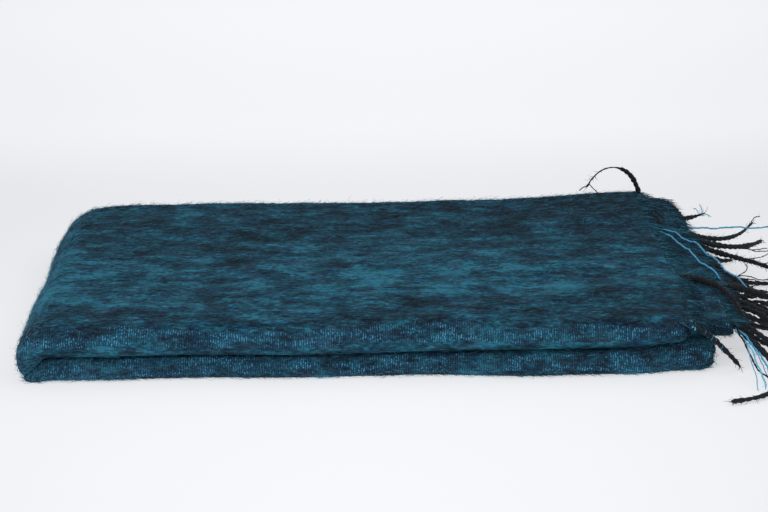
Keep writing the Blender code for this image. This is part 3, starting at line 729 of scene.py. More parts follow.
def cloth_skin(name, columns, rows, levels, place, relief, nap_at, material):
    """A closed skin of quads on a lattice of cells: the lattice's outer points, put where
    place says, then moved along their normals by relief. Corner UVs are in metres: along
    the pack and round it. nap_at gives how brushed a point is, from 0 to 1."""
    nx, ny, nz = len(columns), len(rows), len(levels)
    number = -np.ones((nx, ny, nz), np.int64)
    outer = np.zeros((nx, ny, nz), bool)
    outer[[0, -1], :, :] = outer[:, [0, -1], :] = outer[:, :, [0, -1]] = True
    number[outer] = np.arange(outer.sum())
    cells = np.argwhere(outer)
    points = np.array([place(columns[i], rows[j], levels[k]) for i, j, k in cells])

    quads, uvs, sides = [], [], []
    down = np.zeros((nx, ny, nz))
    where = np.full((nx, ny, nz, 3), np.nan)
    where[outer] = points
    drop = np.sqrt(((where[:, :, 1:] - where[:, :, :-1]) ** 2).sum(-1))
    down[:, :, :-1] = np.cumsum(drop[:, :, ::-1], axis=2)[:, :, ::-1]

    def add_side(side, ids, first, second, flip):
        a, b = ids[:-1, :-1], ids[1:, :-1]
        c, d = ids[1:, 1:], ids[:-1, 1:]
        ring = [a, b, c, d] if not flip else [a, d, c, b]
        quads.append(np.stack([r.ravel() for r in ring], axis=1))
        pairs = np.stack([first, second], axis=-1)
        pa, pb, pc, pd = pairs[:-1, :-1], pairs[1:, :-1], pairs[1:, 1:], pairs[:-1, 1:]
        turn = [pa, pb, pc, pd] if not flip else [pa, pd, pc, pb]
        uvs.append(np.stack([t.reshape(-1, 2) for t in turn], axis=1))
        sides.append(np.full(quads[-1].shape[0], side))

    x, y = where[..., 0], where[..., 1]
    add_side(TOP, number[:, :, -1], x[:, :, -1], y[:, :, -1], False)
    add_side(BOTTOM, number[:, :, 0], x[:, :, 0], y[:, :, 0], True)
    front, back = y[:, 0, -1:] - down[:, 0, :], y[:, -1, -1:] + down[:, -1, :]
    left, right = x[0, :, -1:] - down[0, :, :], x[-1, :, -1:] + down[-1, :, :]
    add_side(FRONT, number[:, 0, :], x[:, 0, :], front, False)
    add_side(BACK, number[:, -1, :], x[:, -1, :], back, True)
    add_side(LEFT, number[0, :, :], left, y[0, :, :], True)
    add_side(RIGHT, number[-1, :, :], right, y[-1, :, :], False)
    quads = np.concatenate(quads)
    uvs = np.concatenate(uvs) * MM
    thing = mesh_piece(name, points, quads, [], material, "cloth", uvs)
    data = thing.data
    face_values(data, "side", np.concatenate(sides))

    normals = np.zeros(len(points) * 3, np.float32)
    data.vertex_normals.foreach_get("vector", normals)
    normals = normals.reshape(-1, 3)
    shares = [(columns[i], rows[j], levels[k]) for i, j, k in cells]
    lift = np.array([relief(p, n, s) for p, n, s in zip(points, normals, shares)])
    points = points + normals * lift[:, None]
    points[:, 2] = np.maximum(points[:, 2], 0.0)
    data.vertices.foreach_set("co", to_frame(points).astype(np.float32).ravel())
    point_values(data, "nap", [nap_at(p, n, s) for p, n, s in zip(points, normals, shares)])
    data.update()
    wall = thing.modifiers.new("cloth thickness", "SOLIDIFY")
    wall.thickness = SKIN_THICKNESS * MM
    wall.offset = -1.0
    return thing


def lumps(point, rows):
    lift = 0.0
    for size, height, shift in rows:
        place = Vector((point[0] / size + shift, point[1] / size, point[2] / size))
        lift += height * soft_noise(place)
    return lift


def upper_relief(point, normal, share):
    up = max(0.0, normal[2])
    lift = lumps(point, UPPER_LUMPS)
    lift += up * crease_relief(point[0], point[1])
    lift += (1.0 - up) * side_relief(point[0] if abs(normal[1]) > 0.5 else point[1])
    return lift * ease(share[2] / 0.2)


def lower_relief(point, normal, share):
    side = 1.0 - abs(normal[2])
    lift = lumps(point, LOWER_LUMPS)
    lift += 0.8 * side_relief(point[0] * 0.93 + 21.0)
    return lift * side * ease(share[2] / 0.15) * ease((1.0 - share[2]) / 0.15)


def inner_relief(point, normal, share):
    return lumps(point, INNER_LUMPS) * ease(share[0] / 0.1) * max(0.0, normal[2] + 0.4)


def upper_nap(point, normal, share):
    """The brushed nap covers the top and the underside of the front roll, and thins to
    the bare weave on the roll's face."""
    x = point[0]
    low, low_fade, high, high_fade = UPPER_BARE_LEVELS
    wander = 0.06 * math.sin(x / 37.0) + 0.04 * math.sin(x / 13.0 + 1.0)
    level = share[2]
    bare = ease((level - low - wander) / low_fade)
    bare *= 1.0 - ease((level - high - wander) / high_fade)
    to_front = ease((-normal[1] - 0.15) / 0.35)
    to_back = BACK_BARE * ease((normal[1] - 0.3) / 0.4)
    to_end = END_BARE * ease((normal[0] - 0.5) / 0.3)
    return 1.0 - max(bare * min(1.0, to_front + to_back), to_end)


def lower_nap(point, normal, share):
    low, low_fade = LOWER_BARE_LEVELS
    wander = 0.07 * math.sin(point[0] / 31.0 + 2.0) + 0.05 * math.sin(point[0] / 11.0)
    bare = ease((share[2] - low - wander) / low_fade)
    to_side = ease((abs(normal[1]) - 0.2) / 0.4)
    to_end = LOWER_END_BARE * ease((normal[0] - 0.3) / 0.4)
    return 1.0 - bare * min(1.0, to_side + to_end)


def inner_nap(point, normal, share):
    front, run = INNER_NAP_RUN
    return mix(*INNER_BRUSHED, ease((point[1] - front) / run))


# Nap of single fibres


def sample_skin(thing, count, weight, rng):
    """Roots on a skin, area by area: places and normals."""
    data = thing.data
    faces = len(data.polygons)
    places = np.zeros(len(data.vertices) * 3, np.float32)
    data.vertices.foreach_get("co", places)
    places = from_frame(places.reshape(-1, 3))
    normals = np.zeros(len(data.vertices) * 3, np.float32)
    data.vertex_normals.foreach_get("vector", normals)
    normals = normals.reshape(-1, 3)
    corners = np.zeros(faces * 4, np.int32)
    data.loops.foreach_get("vertex_index", corners)
    corners = corners.reshape(-1, 4)
    sides = np.zeros(faces, np.int32)
    data.attributes["side"].data.foreach_get("value", sides)
    areas = np.zeros(faces, np.float32)
    data.polygons.foreach_get("area", areas)
    centres = places[corners].mean(axis=1)
    chance = areas * weight(centres, sides)
    picked = rng.choice(faces, count, p=chance / chance.sum())
    s, t = rng.random(count), rng.random(count)
    parts = np.stack([(1 - s) * (1 - t), s * (1 - t), s * t, (1 - s) * t], axis=1)
    root = (places[corners[picked]] * parts[:, :, None]).sum(axis=1)
    out = (normals[corners[picked]] * parts[:, :, None]).sum(axis=1)
    out /= np.linalg.norm(out, axis=1, keepdims=True)
    return root, out


def across(one, other):
    """A unit vector square to both."""
    side = np.cross(one, other)
    return side / np.maximum(np.linalg.norm(side, axis=1, keepdims=True), 1e-6)


def fibres(name, root, out, lay, length, width, lift, curl, tone, material):
    """Tapering three-sided fibres. Each starts just under the cloth, follows lay, rises
    by lift along out and bends sideways by curl. All values are in mm, one per fibre."""
    count = len(root)
    side = across(lay, out)
    shares = np.array([0.0, 0.4, 0.75, 1.0])
    rise = np.array([-0.25, 0.75, 1.0, 0.9])
    sway = np.array([0.0, 0.25, 0.65, 1.0])
    spine = root[:, None] + lay[:, None] * (length[:, None] * shares)[:, :, None]
    spine = spine + out[:, None] * (lift[:, None] * rise)[:, :, None]
    spine = spine + side[:, None] * (curl[:, None] * sway)[:, :, None]
    spine[:, :, 2] = np.maximum(spine[:, :, 2], LEAST_HEIGHT)
    girth = width[:, None] * np.array([0.8, 1.0, 0.65])
    rings = []
    for corner in range(3):
        angle = 2.0 * math.pi * corner / 3.0
        way = math.cos(angle) * side + math.sin(angle) * out
        rings.append(spine[:, :3] + way[:, None] * (girth / 2.0)[:, :, None])
    rings = np.stack(rings, axis=2).reshape(count, 9, 3)
    points = np.concatenate([rings, spine[:, 3:]], axis=1).reshape(-1, 3)
    points[:, 2] = np.maximum(points[:, 2], 0.02)
    quads, ends = [], [(2, 1, 0)]
    for ring in range(2):
        for corner in range(3):
            after = (corner + 1) % 3
            low, high = 3 * ring, 3 * ring + 3
            quads.append((low + corner, low + after, high + after, high + corner))
    for corner in range(3):
        ends.append((6 + corner, 6 + (corner + 1) % 3, 9))
    start = 10 * np.arange(count)[:, None, None]
    quads = (np.array(quads)[None] + start).reshape(-1, 4)
    ends = (np.array(ends)[None] + start).reshape(-1, 3)
    thing = mesh_piece(name, points, quads, ends, material)
    point_values(thing.data, "tone", np.repeat(tone, 10))
    roots = thing.data.attributes.new("root", "FLOAT_VECTOR", "POINT")
    places = np.repeat(to_frame(root), 10, axis=0).astype(np.float32)
    roots.data.foreach_set("vector", places.ravel())
    return thing


def nap_fibres(name, skin, count, weight, material, seed):
    """The brushed nap: fibres that lie mostly along the pack and stand off its edges."""
    rng = np.random.default_rng(seed)
    root, out = sample_skin(skin, count, weight, rng)
    level = np.stack([out[:, 1], -out[:, 0], np.zeros(count)], axis=1)
    lengthwise = np.tile([1.0, 0.0, 0.0], (count, 1))
    steep = np.clip(1.0 - np.abs(out[:, 2]), 0.0, 1.0)
    ends = (np.abs(out[:, 0]) > 0.6)[:, None]
    lay = np.where(ends, level, lengthwise)
    turn = rng.normal(0.0, NAP_TURN, count)
    turn += 0.12 * np.sin(root[:, 0] / 60.0 + root[:, 1] / 35.0)
    sideways = across(lay, out)
    lay = lay * np.cos(turn)[:, None] + sideways * np.sin(turn)[:, None]
    ways = [NAP_TO_LEFT, 1.0 - NAP_TO_LEFT]
    lay *= rng.choice([-1.0, 1.0], count, p=ways)[:, None]
    lay -= out * (lay * out).sum(axis=1)[:, None]
    lay /= np.linalg.norm(lay, axis=1, keepdims=True)
    lay[:, 2] -= 0.25 * steep * rng.random(count)
    lengths, widths, curls = NAP_FIBRE
    length = rng.uniform(*lengths, count)
    width = rng.uniform(*widths, count)
    lift = rng.gamma(2.0, 0.28, count) + 0.7 * steep * rng.random(count)
    loose = rng.random(count) < LOOSE_SHARE
    lift[loose] *= LOOSE_LIFT
    width[loose] *= 0.6
    curl = rng.normal(0.0, curls, count)
    tone = rng.random(count)
    # Loose fibres are paler: painted rim light where they stand off the nap
    tone[loose] = 0.6 + 0.4 * tone[loose]
    return fibres(name, root, out, lay, length, width, lift, curl, tone, material)


def haze_fibres(name, skin, count, weight, material, seed):
    """Finer, paler fibres that stand off an outline and soften it; their paleness is painted rim
    light.
    """
    rng = np.random.default_rng(seed)
    root, out = sample_skin(skin, count, weight, rng)
    lay = rng.normal(0.0, 1.0, (count, 3)) + (1.0, 0.0, 0.0)
    lay -= out * (lay * out).sum(axis=1)[:, None]
    lay /= np.linalg.norm(lay, axis=1, keepdims=True)
    lengths, widths, curls = HAZE_FIBRE
    length = rng.uniform(*lengths, count)
    width = rng.uniform(*widths, count)
    lift = rng.gamma(2.0, 0.55, count)
    curl = rng.normal(0.0, curls, count)
    # Tones above 1 make them paler still: painted rim light on the outline
    tone = rng.uniform(0.9, 1.6, count)
    return fibres(name, root, out, lay, length, width, lift, curl, tone, material)


def edge_fibres(name, roots, way, material, seed):
    """Longer fibres brushed off a cloth end, that cover the step to the cloth below."""
    rng = np.random.default_rng(seed)
    count = len(roots)
    out = np.tile([0.0, 0.0, 1.0], (count, 1)) + rng.normal(0.0, 0.12, (count, 3))
    out /= np.linalg.norm(out, axis=1, keepdims=True)
    lay = np.tile(way, (count, 1)) + rng.normal(0.0, (0.0, 0.45, 0.10), (count, 3))
    lay /= np.linalg.norm(lay, axis=1, keepdims=True)
    lengths, widths, curls = EDGE_FIBRE
    length = rng.uniform(*lengths, count)
    width = rng.uniform(*widths, count)
    lift = rng.gamma(2.0, 0.25, count)
    curl = rng.normal(0.0, curls, count)
    return fibres(name, roots, out, lay, length, width, lift, curl, rng.random(count), material)


# Strands of the fringe


def strand_route(root, width, length, turn, bow, rise):
    """Points along a strand, whose heading and slope change evenly from root to tip."""
    route = [Vector(root)]
    step = length / STRAND_STEPS
    for n in range(STRAND_STEPS):
        share = (n + 0.5) / STRAND_STEPS
        turns = share * length / STRAND_WAVE_LENGTH
        sway = STRAND_WAVE * math.sin(2.0 * math.pi * turns + root[1])
        heading = mix(turn[0], turn[1], share) + bow * math.sin(math.pi * share)
        heading = math.radians(heading + sway * min(1.0, 4.0 * share))
        slope = math.radians(mix(rise[0], rise[1], share))
        last = route[-1]
        lowest = width / 2.0 + FLOOR_GAP
        if slope < 0.0 and last.z + step * math.sin(slope) < lowest:
            slope = math.asin(max(-1.0, (lowest - last.z) / step))
        level = step * math.cos(slope)
        ahead = (level * math.cos(heading), level * math.sin(heading), step * math.sin(slope))
        route.append(last + Vector(ahead))
    return route


def outer_roots():
    bottom, top = OUTER_STRIP
    for along, width, length, turn, bow, rise, tip in OUTER_STRANDS:
        x = outer_end(along) + SEAM + STRIP_DEPTH
        z = (bottom + top) / 2.0 + corner_lift(along)
        yield (x, along, z), width, length, turn, bow, rise, tip


def inner_roots():
    low, low_top, high, high_top = INNER_STRIP
    for along, row, width, length, turn, bow, rise, tip in INNER_STRANDS:
        x = inner_end_x(along) + SEAM + STRIP_DEPTH
        z = (low + low_top) / 2.0 if row == LOW else (high + high_top) / 2.0
        z += 0.8 * corner_lift(along)
        yield (x, along, z), width, length, turn, bow, rise, tip


def widths_along(width, tip):
    shares = [n / STRAND_STEPS for n in range(STRAND_STEPS + 1)]
    return [width * mix(1.0, tip, ease((s - 0.35) / 0.55)) for s in shares]


def keep_clear(point, radius, outer):
    x, y, z = point
    z = max(z, radius + FLOOR_GAP)
    along = min(PACK_DEPTH, max(0.0, y))
    outer_clear = outer_end(along) + SEAM + STRIP_DEPTH + CLOTH_GAP + radius
    inner_clear = inner_end_x(along) + SEAM + STRIP_DEPTH + CLOTH_GAP + radius
    beside_pack = -radius < y < PACK_DEPTH + radius
    if outer:
        if x < outer_clear and z < OUTER_STRIP[1] + corner_lift(along) + radius + 1.0:
            x = outer_clear
        if x < inner_clear and INNER_FRONT - radius < y < INNER_BACK + radius:
            z = max(z, INNER_TOP + corner_lift(along) + radius + CLOTH_GAP)
    elif x < inner_clear and beside_pack and z < INNER_TOP + radius + 4.0:
        x = inner_clear
    return x, y, z


def near_pairs(samples, owner, need):
    apart = samples[:, None, :] - samples[None, :, :]
    near = (apart**2).sum(axis=2) < (need[:, None] + need[None, :] + 4.0) ** 2
    near &= owner[:, None] < owner[None, :]
    return np.nonzero(near)


def spread_apart(strands):
    """Strands that would run through each other push each other aside."""
    points = np.array([[tuple(p) for p in route] for route, _, _ in strands])
    radii = np.array([[w / 2.0 for w in widths] for _, widths, _ in strands])
    count, length = radii.shape
    middle_radii = (radii[:, 1:] + radii[:, :-1]) / 2.0
    need = np.concatenate([radii, middle_radii], axis=1).ravel() + STRAND_GAP / 2.0
    owner = np.repeat(np.arange(count), 2 * length - 1)
    for turn in range(SPREAD_ROUNDS):
        middles = (points[:, 1:] + points[:, :-1]) / 2.0
        samples = np.concatenate([points, middles], axis=1).reshape(-1, 3)
        if turn % 8 == 0:
            one, other = near_pairs(samples, owner, need)
        apart = samples[one] - samples[other]
        distance = np.sqrt((apart**2).sum(axis=1)) + 1e-6
        push = 0.5 * np.maximum(need[one] + need[other] - distance, 0.0) / distance
        moves = np.zeros_like(samples)
        np.add.at(moves, one, apart * push[:, None])
        np.add.at(moves, other, -apart * push[:, None])
        moves = moves.reshape(count, 2 * length - 1, 3)
        step = moves[:, :length]
        step[:, 1:] += moves[:, length:]
        step[:, :-1] += moves[:, length:]
        step[:, :2] = 0.0
        points += np.clip(step, -1.0, 1.0)
        bend = np.zeros_like(points)
        bend[:, 2:-1] = points[:, 1:-2] + points[:, 3:] - 2.0 * points[:, 2:-1]
        points += 0.12 * bend
        for s, (_, _, outer) in enumerate(strands):
            for n in range(2, length):
                points[s, n] = keep_clear(points[s, n], radii[s, n], outer)
    return points


def settled_strands():
    """Every strand by its root's distance along: route, width, tip share and its end."""
    rows = [(row, True) for row in outer_roots()] + [(row, False) for row in inner_roots()]
    strands = []
    for (root, width, length, turn, bow, rise, tip), outer in rows:
        route = strand_route(root, width, length, turn, bow, rise)
        strands.append((route, widths_along(width, tip), outer))
    routes = spread_apart(strands)
    return {
        row[0][1]: {"route": route, "width": row[1], "tip": row[6], "outer": outer}
        for (row, outer), route in zip(rows, routes)
    }


def smooth_line(points, spacing):
    """A smooth curve through the points, with a point about every spacing."""
    points = np.asarray(points, float)
    padded = np.concatenate([[2 * points[0] - points[1]], points, [2 * points[-1] - points[-2]]])
    line = []
    for n in range(len(points) - 1):
        before, start, end, after = padded[n : n + 4]
        parts = max(1, int(round(np.linalg.norm(end - start) / spacing)))
        for m in range(parts):
            t = m / parts
            bend = (2 * before - 5 * start + 4 * end - after) * t**2
            swing = (3 * start - before - 3 * end + after) * t**3
            line.append(0.5 * (2 * start + (end - before) * t + bend + swing))
    line.append(points[-1])
    return np.array(line)


def frames_along(line):
    """A side and a top vector at each point, carried along without twist."""
    ahead = np.gradient(line, axis=0)
    ahead /= np.maximum(np.linalg.norm(ahead, axis=1, keepdims=True), 1e-9)
    side = np.array([0.0, 1.0, 0.0]) if abs(ahead[0, 1]) < 0.9 else np.array([1.0, 0.0, 0.0])
    sides = []
    for way in ahead:
        side = side - way * side.dot(way)
        side /= np.linalg.norm(side)
        sides.append(side)
    sides = np.array(sides)
    return sides, np.cross(ahead, sides)


class Bundle:
    """Collects the tubes of a fringe as one mesh."""

    def __init__(self):
        self.points, self.quads, self.triangles = [], [], []
        self.quad_uvs, self.triangle_uvs = [], []
        self.tones = []
        self.count = 0

    def tube(self, line, radii, sides, lobes, pitch, phase, tone):
        """A closed tube. With lobes above 1 its section is that of twisted plies, which
        turn once every pitch."""
        line = np.asarray(line, float)
        radii = np.asarray(radii, float)
        side, top = frames_along(line)
        gone = np.concatenate([[0.0], np.cumsum(np.linalg.norm(np.diff(line, axis=0), axis=1))])
        angles = 2.0 * math.pi * np.arange(sides) / sides
        twist = 2.0 * math.pi * gone / pitch + phase
        shape = np.ones((len(line), sides))
        if lobes > 1:
            swell = np.abs(np.cos((angles[None, :] - twist[:, None]) * lobes / 2.0))
            shape = PLY_VALLEY + (1.0 - PLY_VALLEY) * swell**PLY_ROUNDNESS
        reach = radii[:, None] * shape
        ring = line[:, None] + side[:, None] * (reach * np.cos(angles))[:, :, None]
        ring = ring + top[:, None] * (reach * np.sin(angles))[:, :, None]
        ring[:, :, 2] = np.maximum(ring[:, :, 2], 0.05)
        points = np.concatenate([ring.reshape(-1, 3), line[:1], line[-1:]])
        rings = len(line)
        ids = np.arange(rings * sides).reshape(rings, sides)
        after = np.roll(ids, -1, axis=1)
        quads = np.stack([ids[:-1], after[:-1], after[1:], ids[1:]], axis=-1).reshape(-1, 4)
        root, tip = rings * sides, rings * sides + 1
        start = np.stack([after[0], ids[0], np.full(sides, root)], axis=1)
        end = np.stack([ids[-1], after[-1], np.full(sides, tip)], axis=1)
        turned = (angles[None, :] - twist[:, None]) / (2.0 * math.pi)
        here = np.stack([np.repeat(gone[:, None], sides, 1) * MM, turned], axis=-1)
        there = here.copy()
        there[..., 1] += 1.0 / sides
        quad_uvs = np.stack([here[:-1], there[:-1], there[1:], here[1:]], axis=2)
        self.quads.append(quads + self.count)
        self.quad_uvs.append(quad_uvs.reshape(-1, 4, 2))
        for cap, place in ((start, 0), (end, -1)):
            self.triangles.append(cap + self.count)
            self.triangle_uvs.append(np.repeat(here[place][:, None], 3, axis=1))
        self.points.append(points)
        self.tones.append(np.full(len(points), tone))
        self.count += len(points)

    def finish(self, name, material):
        uvs = [u.reshape(-1, 2) for u in self.quad_uvs + self.triangle_uvs]
        thing = mesh_piece(
            name,
            np.concatenate(self.points),
            np.concatenate(self.quads),
            np.concatenate(self.triangles),
            material,
            "yarn",
            np.concatenate(uvs),
        )
        point_values(thing.data, "tone", np.concatenate(self.tones))
        return thing


def wandering(start, ahead, length, steps, rng, wild, drop=0.0):
    """A short free fibre that curls at random from a start."""
    way = np.array(ahead, float)
    bend = rng.normal(0.0, wild, 3)
    line = [np.array(start, float)]
    for _ in range(steps):
        way = way + bend * 0.5 + rng.normal(0.0, wild * 0.5, 3) + (0.0, 0.0, -drop)
        way /= np.linalg.norm(way)
        place = line[-1] + way * length / steps
        place[2] = max(place[2], 0.5)
        line.append(place)
    return np.array(line)


def add_hair(bundle, line, radii, pitch, rng):
    bundle.tube(line, np.linspace(*radii, len(line)), 3, 1, pitch, 0.0, rng.random())


def add_tassel(bundle, strand, rng, pitch, fuzz):
    """One twisted tassel: two plies, loose fibres off its sides and a frayed tip."""
    line = smooth_line(strand["route"], 1.0)
    shares = np.linspace(0.0, 1.0, len(line))
    width, tip = strand["width"], strand["tip"]
    thins, run = FINE_TIP_RUN if tip < FINE_TIP else TIP_RUN
    tip = min(tip, 1.2 * tip * tip + 0.28)
    even = np.array([mix(1.0, tip, ease((s - thins) / run)) for s in shares])
    uneven = 1.0 + 0.07 * np.sin(shares * 31.0 + width * 9.0) + rng.normal(0.0, 0.03, len(line))
    radii = width / 2.0 * even * uneven * TASSEL_FULLNESS
    radii[0] *= 0.9
    radii[-len(TASSEL_TIP) :] *= TASSEL_TIP
    swell = np.interp(shares, np.linspace(0.0, 1.0, 12), rng.uniform(0.86, 1.12, 12))
    turns = pitch * rng.uniform(0.7, 1.15)
    bundle.tube(line, radii * swell, TASSEL_SIDES, 2, turns, rng.uniform(0, 6), rng.random())
    ahead = line[-1] - line[-4]
    ahead /= np.linalg.norm(ahead)
    for _ in range(FRAYS):
        start = line[-3] + rng.normal(0.0, 0.2 * width * tip, 3)
        fray = wandering(start, ahead, rng.uniform(*FRAY_LENGTH), 7, rng, 0.26, 0.06)
        add_hair(bundle, fray, FRAY_RADIUS, pitch, rng)
    length = np.linalg.norm(np.diff(line, axis=0), axis=1).sum()
    for _ in range(int(fuzz * length)):
        place = int(rng.integers(3, len(line) - 2))
        forward = line[place + 1] - line[place]
        forward /= np.linalg.norm(forward)
        out = across(forward[None], rng.normal(0.0, 1.0, (1, 3)))[0]
        start = line[place] + out * radii[place] * 0.7
        hair = wandering(start, out * 0.8 + forward, rng.uniform(*HAIR_LENGTH), 3, rng, 0.35)
        add_hair(bundle, hair, HAIR_RADIUS, pitch, rng)


def add_thread(bundle, line, width, rng, pitch):
    """One loose thread: two fine plies that wriggle a little, and a few stray hairs."""
    line = smooth_line(line, 1.0)
    free = np.minimum(1.0, np.arange(len(line)) / 12.0)[:, None]
    for length, reach in THREAD_WRIGGLES:
        phases = rng.uniform(0.0, 2.0 * math.pi, 3) + (0.0, 0.0, 1.6)
        angles = 2.0 * math.pi * np.arange(len(line))[:, None] / length + phases
        line = line + free * reach * np.sin(angles) * (0.5, 1.0, 1.0)
    line[:, 2] = np.maximum(line[:, 2], 0.6)
    radii = np.full(len(line), 0.58 * width) * (1.0 + rng.normal(0.0, 0.08, len(line)))
    radii[-len(THREAD_TIP) :] *= THREAD_TIP
    bundle.tube(line, radii, THREAD_SIDES, 2, pitch, rng.uniform(0, 6), rng.random())
    for _ in range(int(len(line) / THREAD_HAIR_SPACING)):
        place = int(rng.integers(2, len(line) - 2))
        forward = line[place + 1] - line[place]
        out = across(forward[None], rng.normal(0.0, 1.0, (1, 3)))[0]
        length = rng.uniform(*THREAD_HAIR_LENGTH)
        hair = wandering(line[place], out + forward, length, 3, rng, 0.3)
        add_hair(bundle, hair, THREAD_HAIR_RADIUS, pitch, rng)


# Materials


def set_inputs(node, inputs):
    """Links or sets a node's inputs, by place or by name."""
    pairs = inputs.items() if isinstance(inputs, dict) else enumerate(inputs)
    for key, value in pairs:
        if isinstance(value, bpy.types.NodeSocket):
            node.id_data.links.new(value, node.inputs[key])
        else:
            node.inputs[key].default_value = value


def add_node(tree, kind, inputs=(), output=0, stops=(), **settings):
    """Adds a shader node with its settings, ramp stops and inputs, and gives an output."""
    node = tree.nodes.new("ShaderNode" + kind)
    for key, value in settings.items():
        setattr(node, key, value)
    while stops and len(node.color_ramp.elements) < len(stops):
        node.color_ramp.elements.new(0.5)
    for n, (position, colour) in enumerate(stops):
        node.color_ramp.elements[n].position = position
        node.color_ramp.elements[n].color = colour
    set_inputs(node, inputs)
    return node.outputs[output]


def new_material(name):
    material = bpy.data.materials.new(name)
    material.use_nodes = True
    tree = material.node_tree
    return material, partial(add_node, tree), tree.nodes["Principled BSDF"]


def material_of(name, make, *values):
    """The material of that name, made the first time it is asked for."""
    return bpy.data.materials.get(name) or make(*values)


def grain(add, place, long, wide, detail, shift):
    """Soft noise drawn out along the pack, to a length and a width in mm."""
    scale = (1000.0 / long, 1000.0 / wide, 1000.0 / wide)
    inputs = {"Vector": place, "Location": (shift, shift, shift), "Scale": scale}
    mapped = add("Mapping", inputs)
    return add("TexNoise", {"Vector": mapped, "Scale": 1.0, "Detail": detail, "Roughness": 0.6})


def wave(add, turns):
    """0 to 1 and back, once for each whole turn."""
    angle = add("Math", (turns, 2.0 * math.pi), operation="MULTIPLY")
    height = add("Math", (angle,), operation="COSINE")
    return add("Math", (height, -0.5, 0.5), operation="MULTIPLY_ADD")


def profile(add, place, rows):
    """A value read from a table of places in mm and values, eased between its rows."""
    first, last = rows[0][0], rows[-1][0]
    share = add("MapRange", (place, first * MM, last * MM))
    stops = [((at - first) / (last - first), (*[0.5 + value] * 3, 1.0)) for at, value in rows]
    eased = add("ValToRGB", (share,), stops=stops)
    eased.node.color_ramp.interpolation = "EASE"
    return add("Math", (eased, 0.5), operation="SUBTRACT")


def melange(add, place, settings):
    """The wool's mixed colours: painted light and shade in broad bands across the pack,
    darker stretches at its left edge and right end, cloudy patches of 30 mm, streaks of the
    nap and fine fibres, some bluer, some purple, some green. Gives the colour, the streaks
    and the fine fibres."""
    grains = [grain(add, place, *sizes) for _, *sizes in WOOL_GRAINS]
    tone = MIDDLE_TONE
    for (weight, *_), cloud in zip(WOOL_GRAINS, grains):
        tone = add("Math", (cloud, weight, tone), operation="MULTIPLY_ADD")
    split = add("SeparateXYZ", (place,)).node
    drift = grain(add, place, *SHADE_DRIFT_GRAIN)
    wander = SHADE_DRIFT * MM
    drift = add("Math", (drift, wander, -0.5 * wander), operation="MULTIPLY_ADD")
    # Painted light and shade in bands across the pack, and darker stretches at its left edge and
    # right end
    for way, start, rows in ((1, PACK_FRONT, PAINTED_LIGHT_ACROSS), (0, PACK_LEFT, SHADES_ALONG)):
        far = add("Math", (split.outputs[way], start * MM), operation="SUBTRACT")
        far = add("Math", (far, drift), operation="ADD")
        tone = add("Math", (tone, profile(add, far, rows)), operation="ADD")
    stops = list(zip(TONE_STOPS, map(linear, settings.colours())))
    colour = add("ValToRGB", (tone,), stops=stops)
    for (long, wide, shift, share), tint in zip(TINT_PATCHES, settings.tints()):
        patch = grain(add, place, long, wide, 3.0, shift)
        patch = add("MapRange", (patch, *TINT_EDGE), interpolation_type="SMOOTHSTEP")
        amount = add("Math", (patch, share), operation="MULTIPLY")
        inputs = {0: amount, 6: colour, 7: linear(tint)}
        colour = add("Mix", inputs, 2, data_type="RGBA", blend_type="MULTIPLY")
    return colour, grains[2], grains[3]


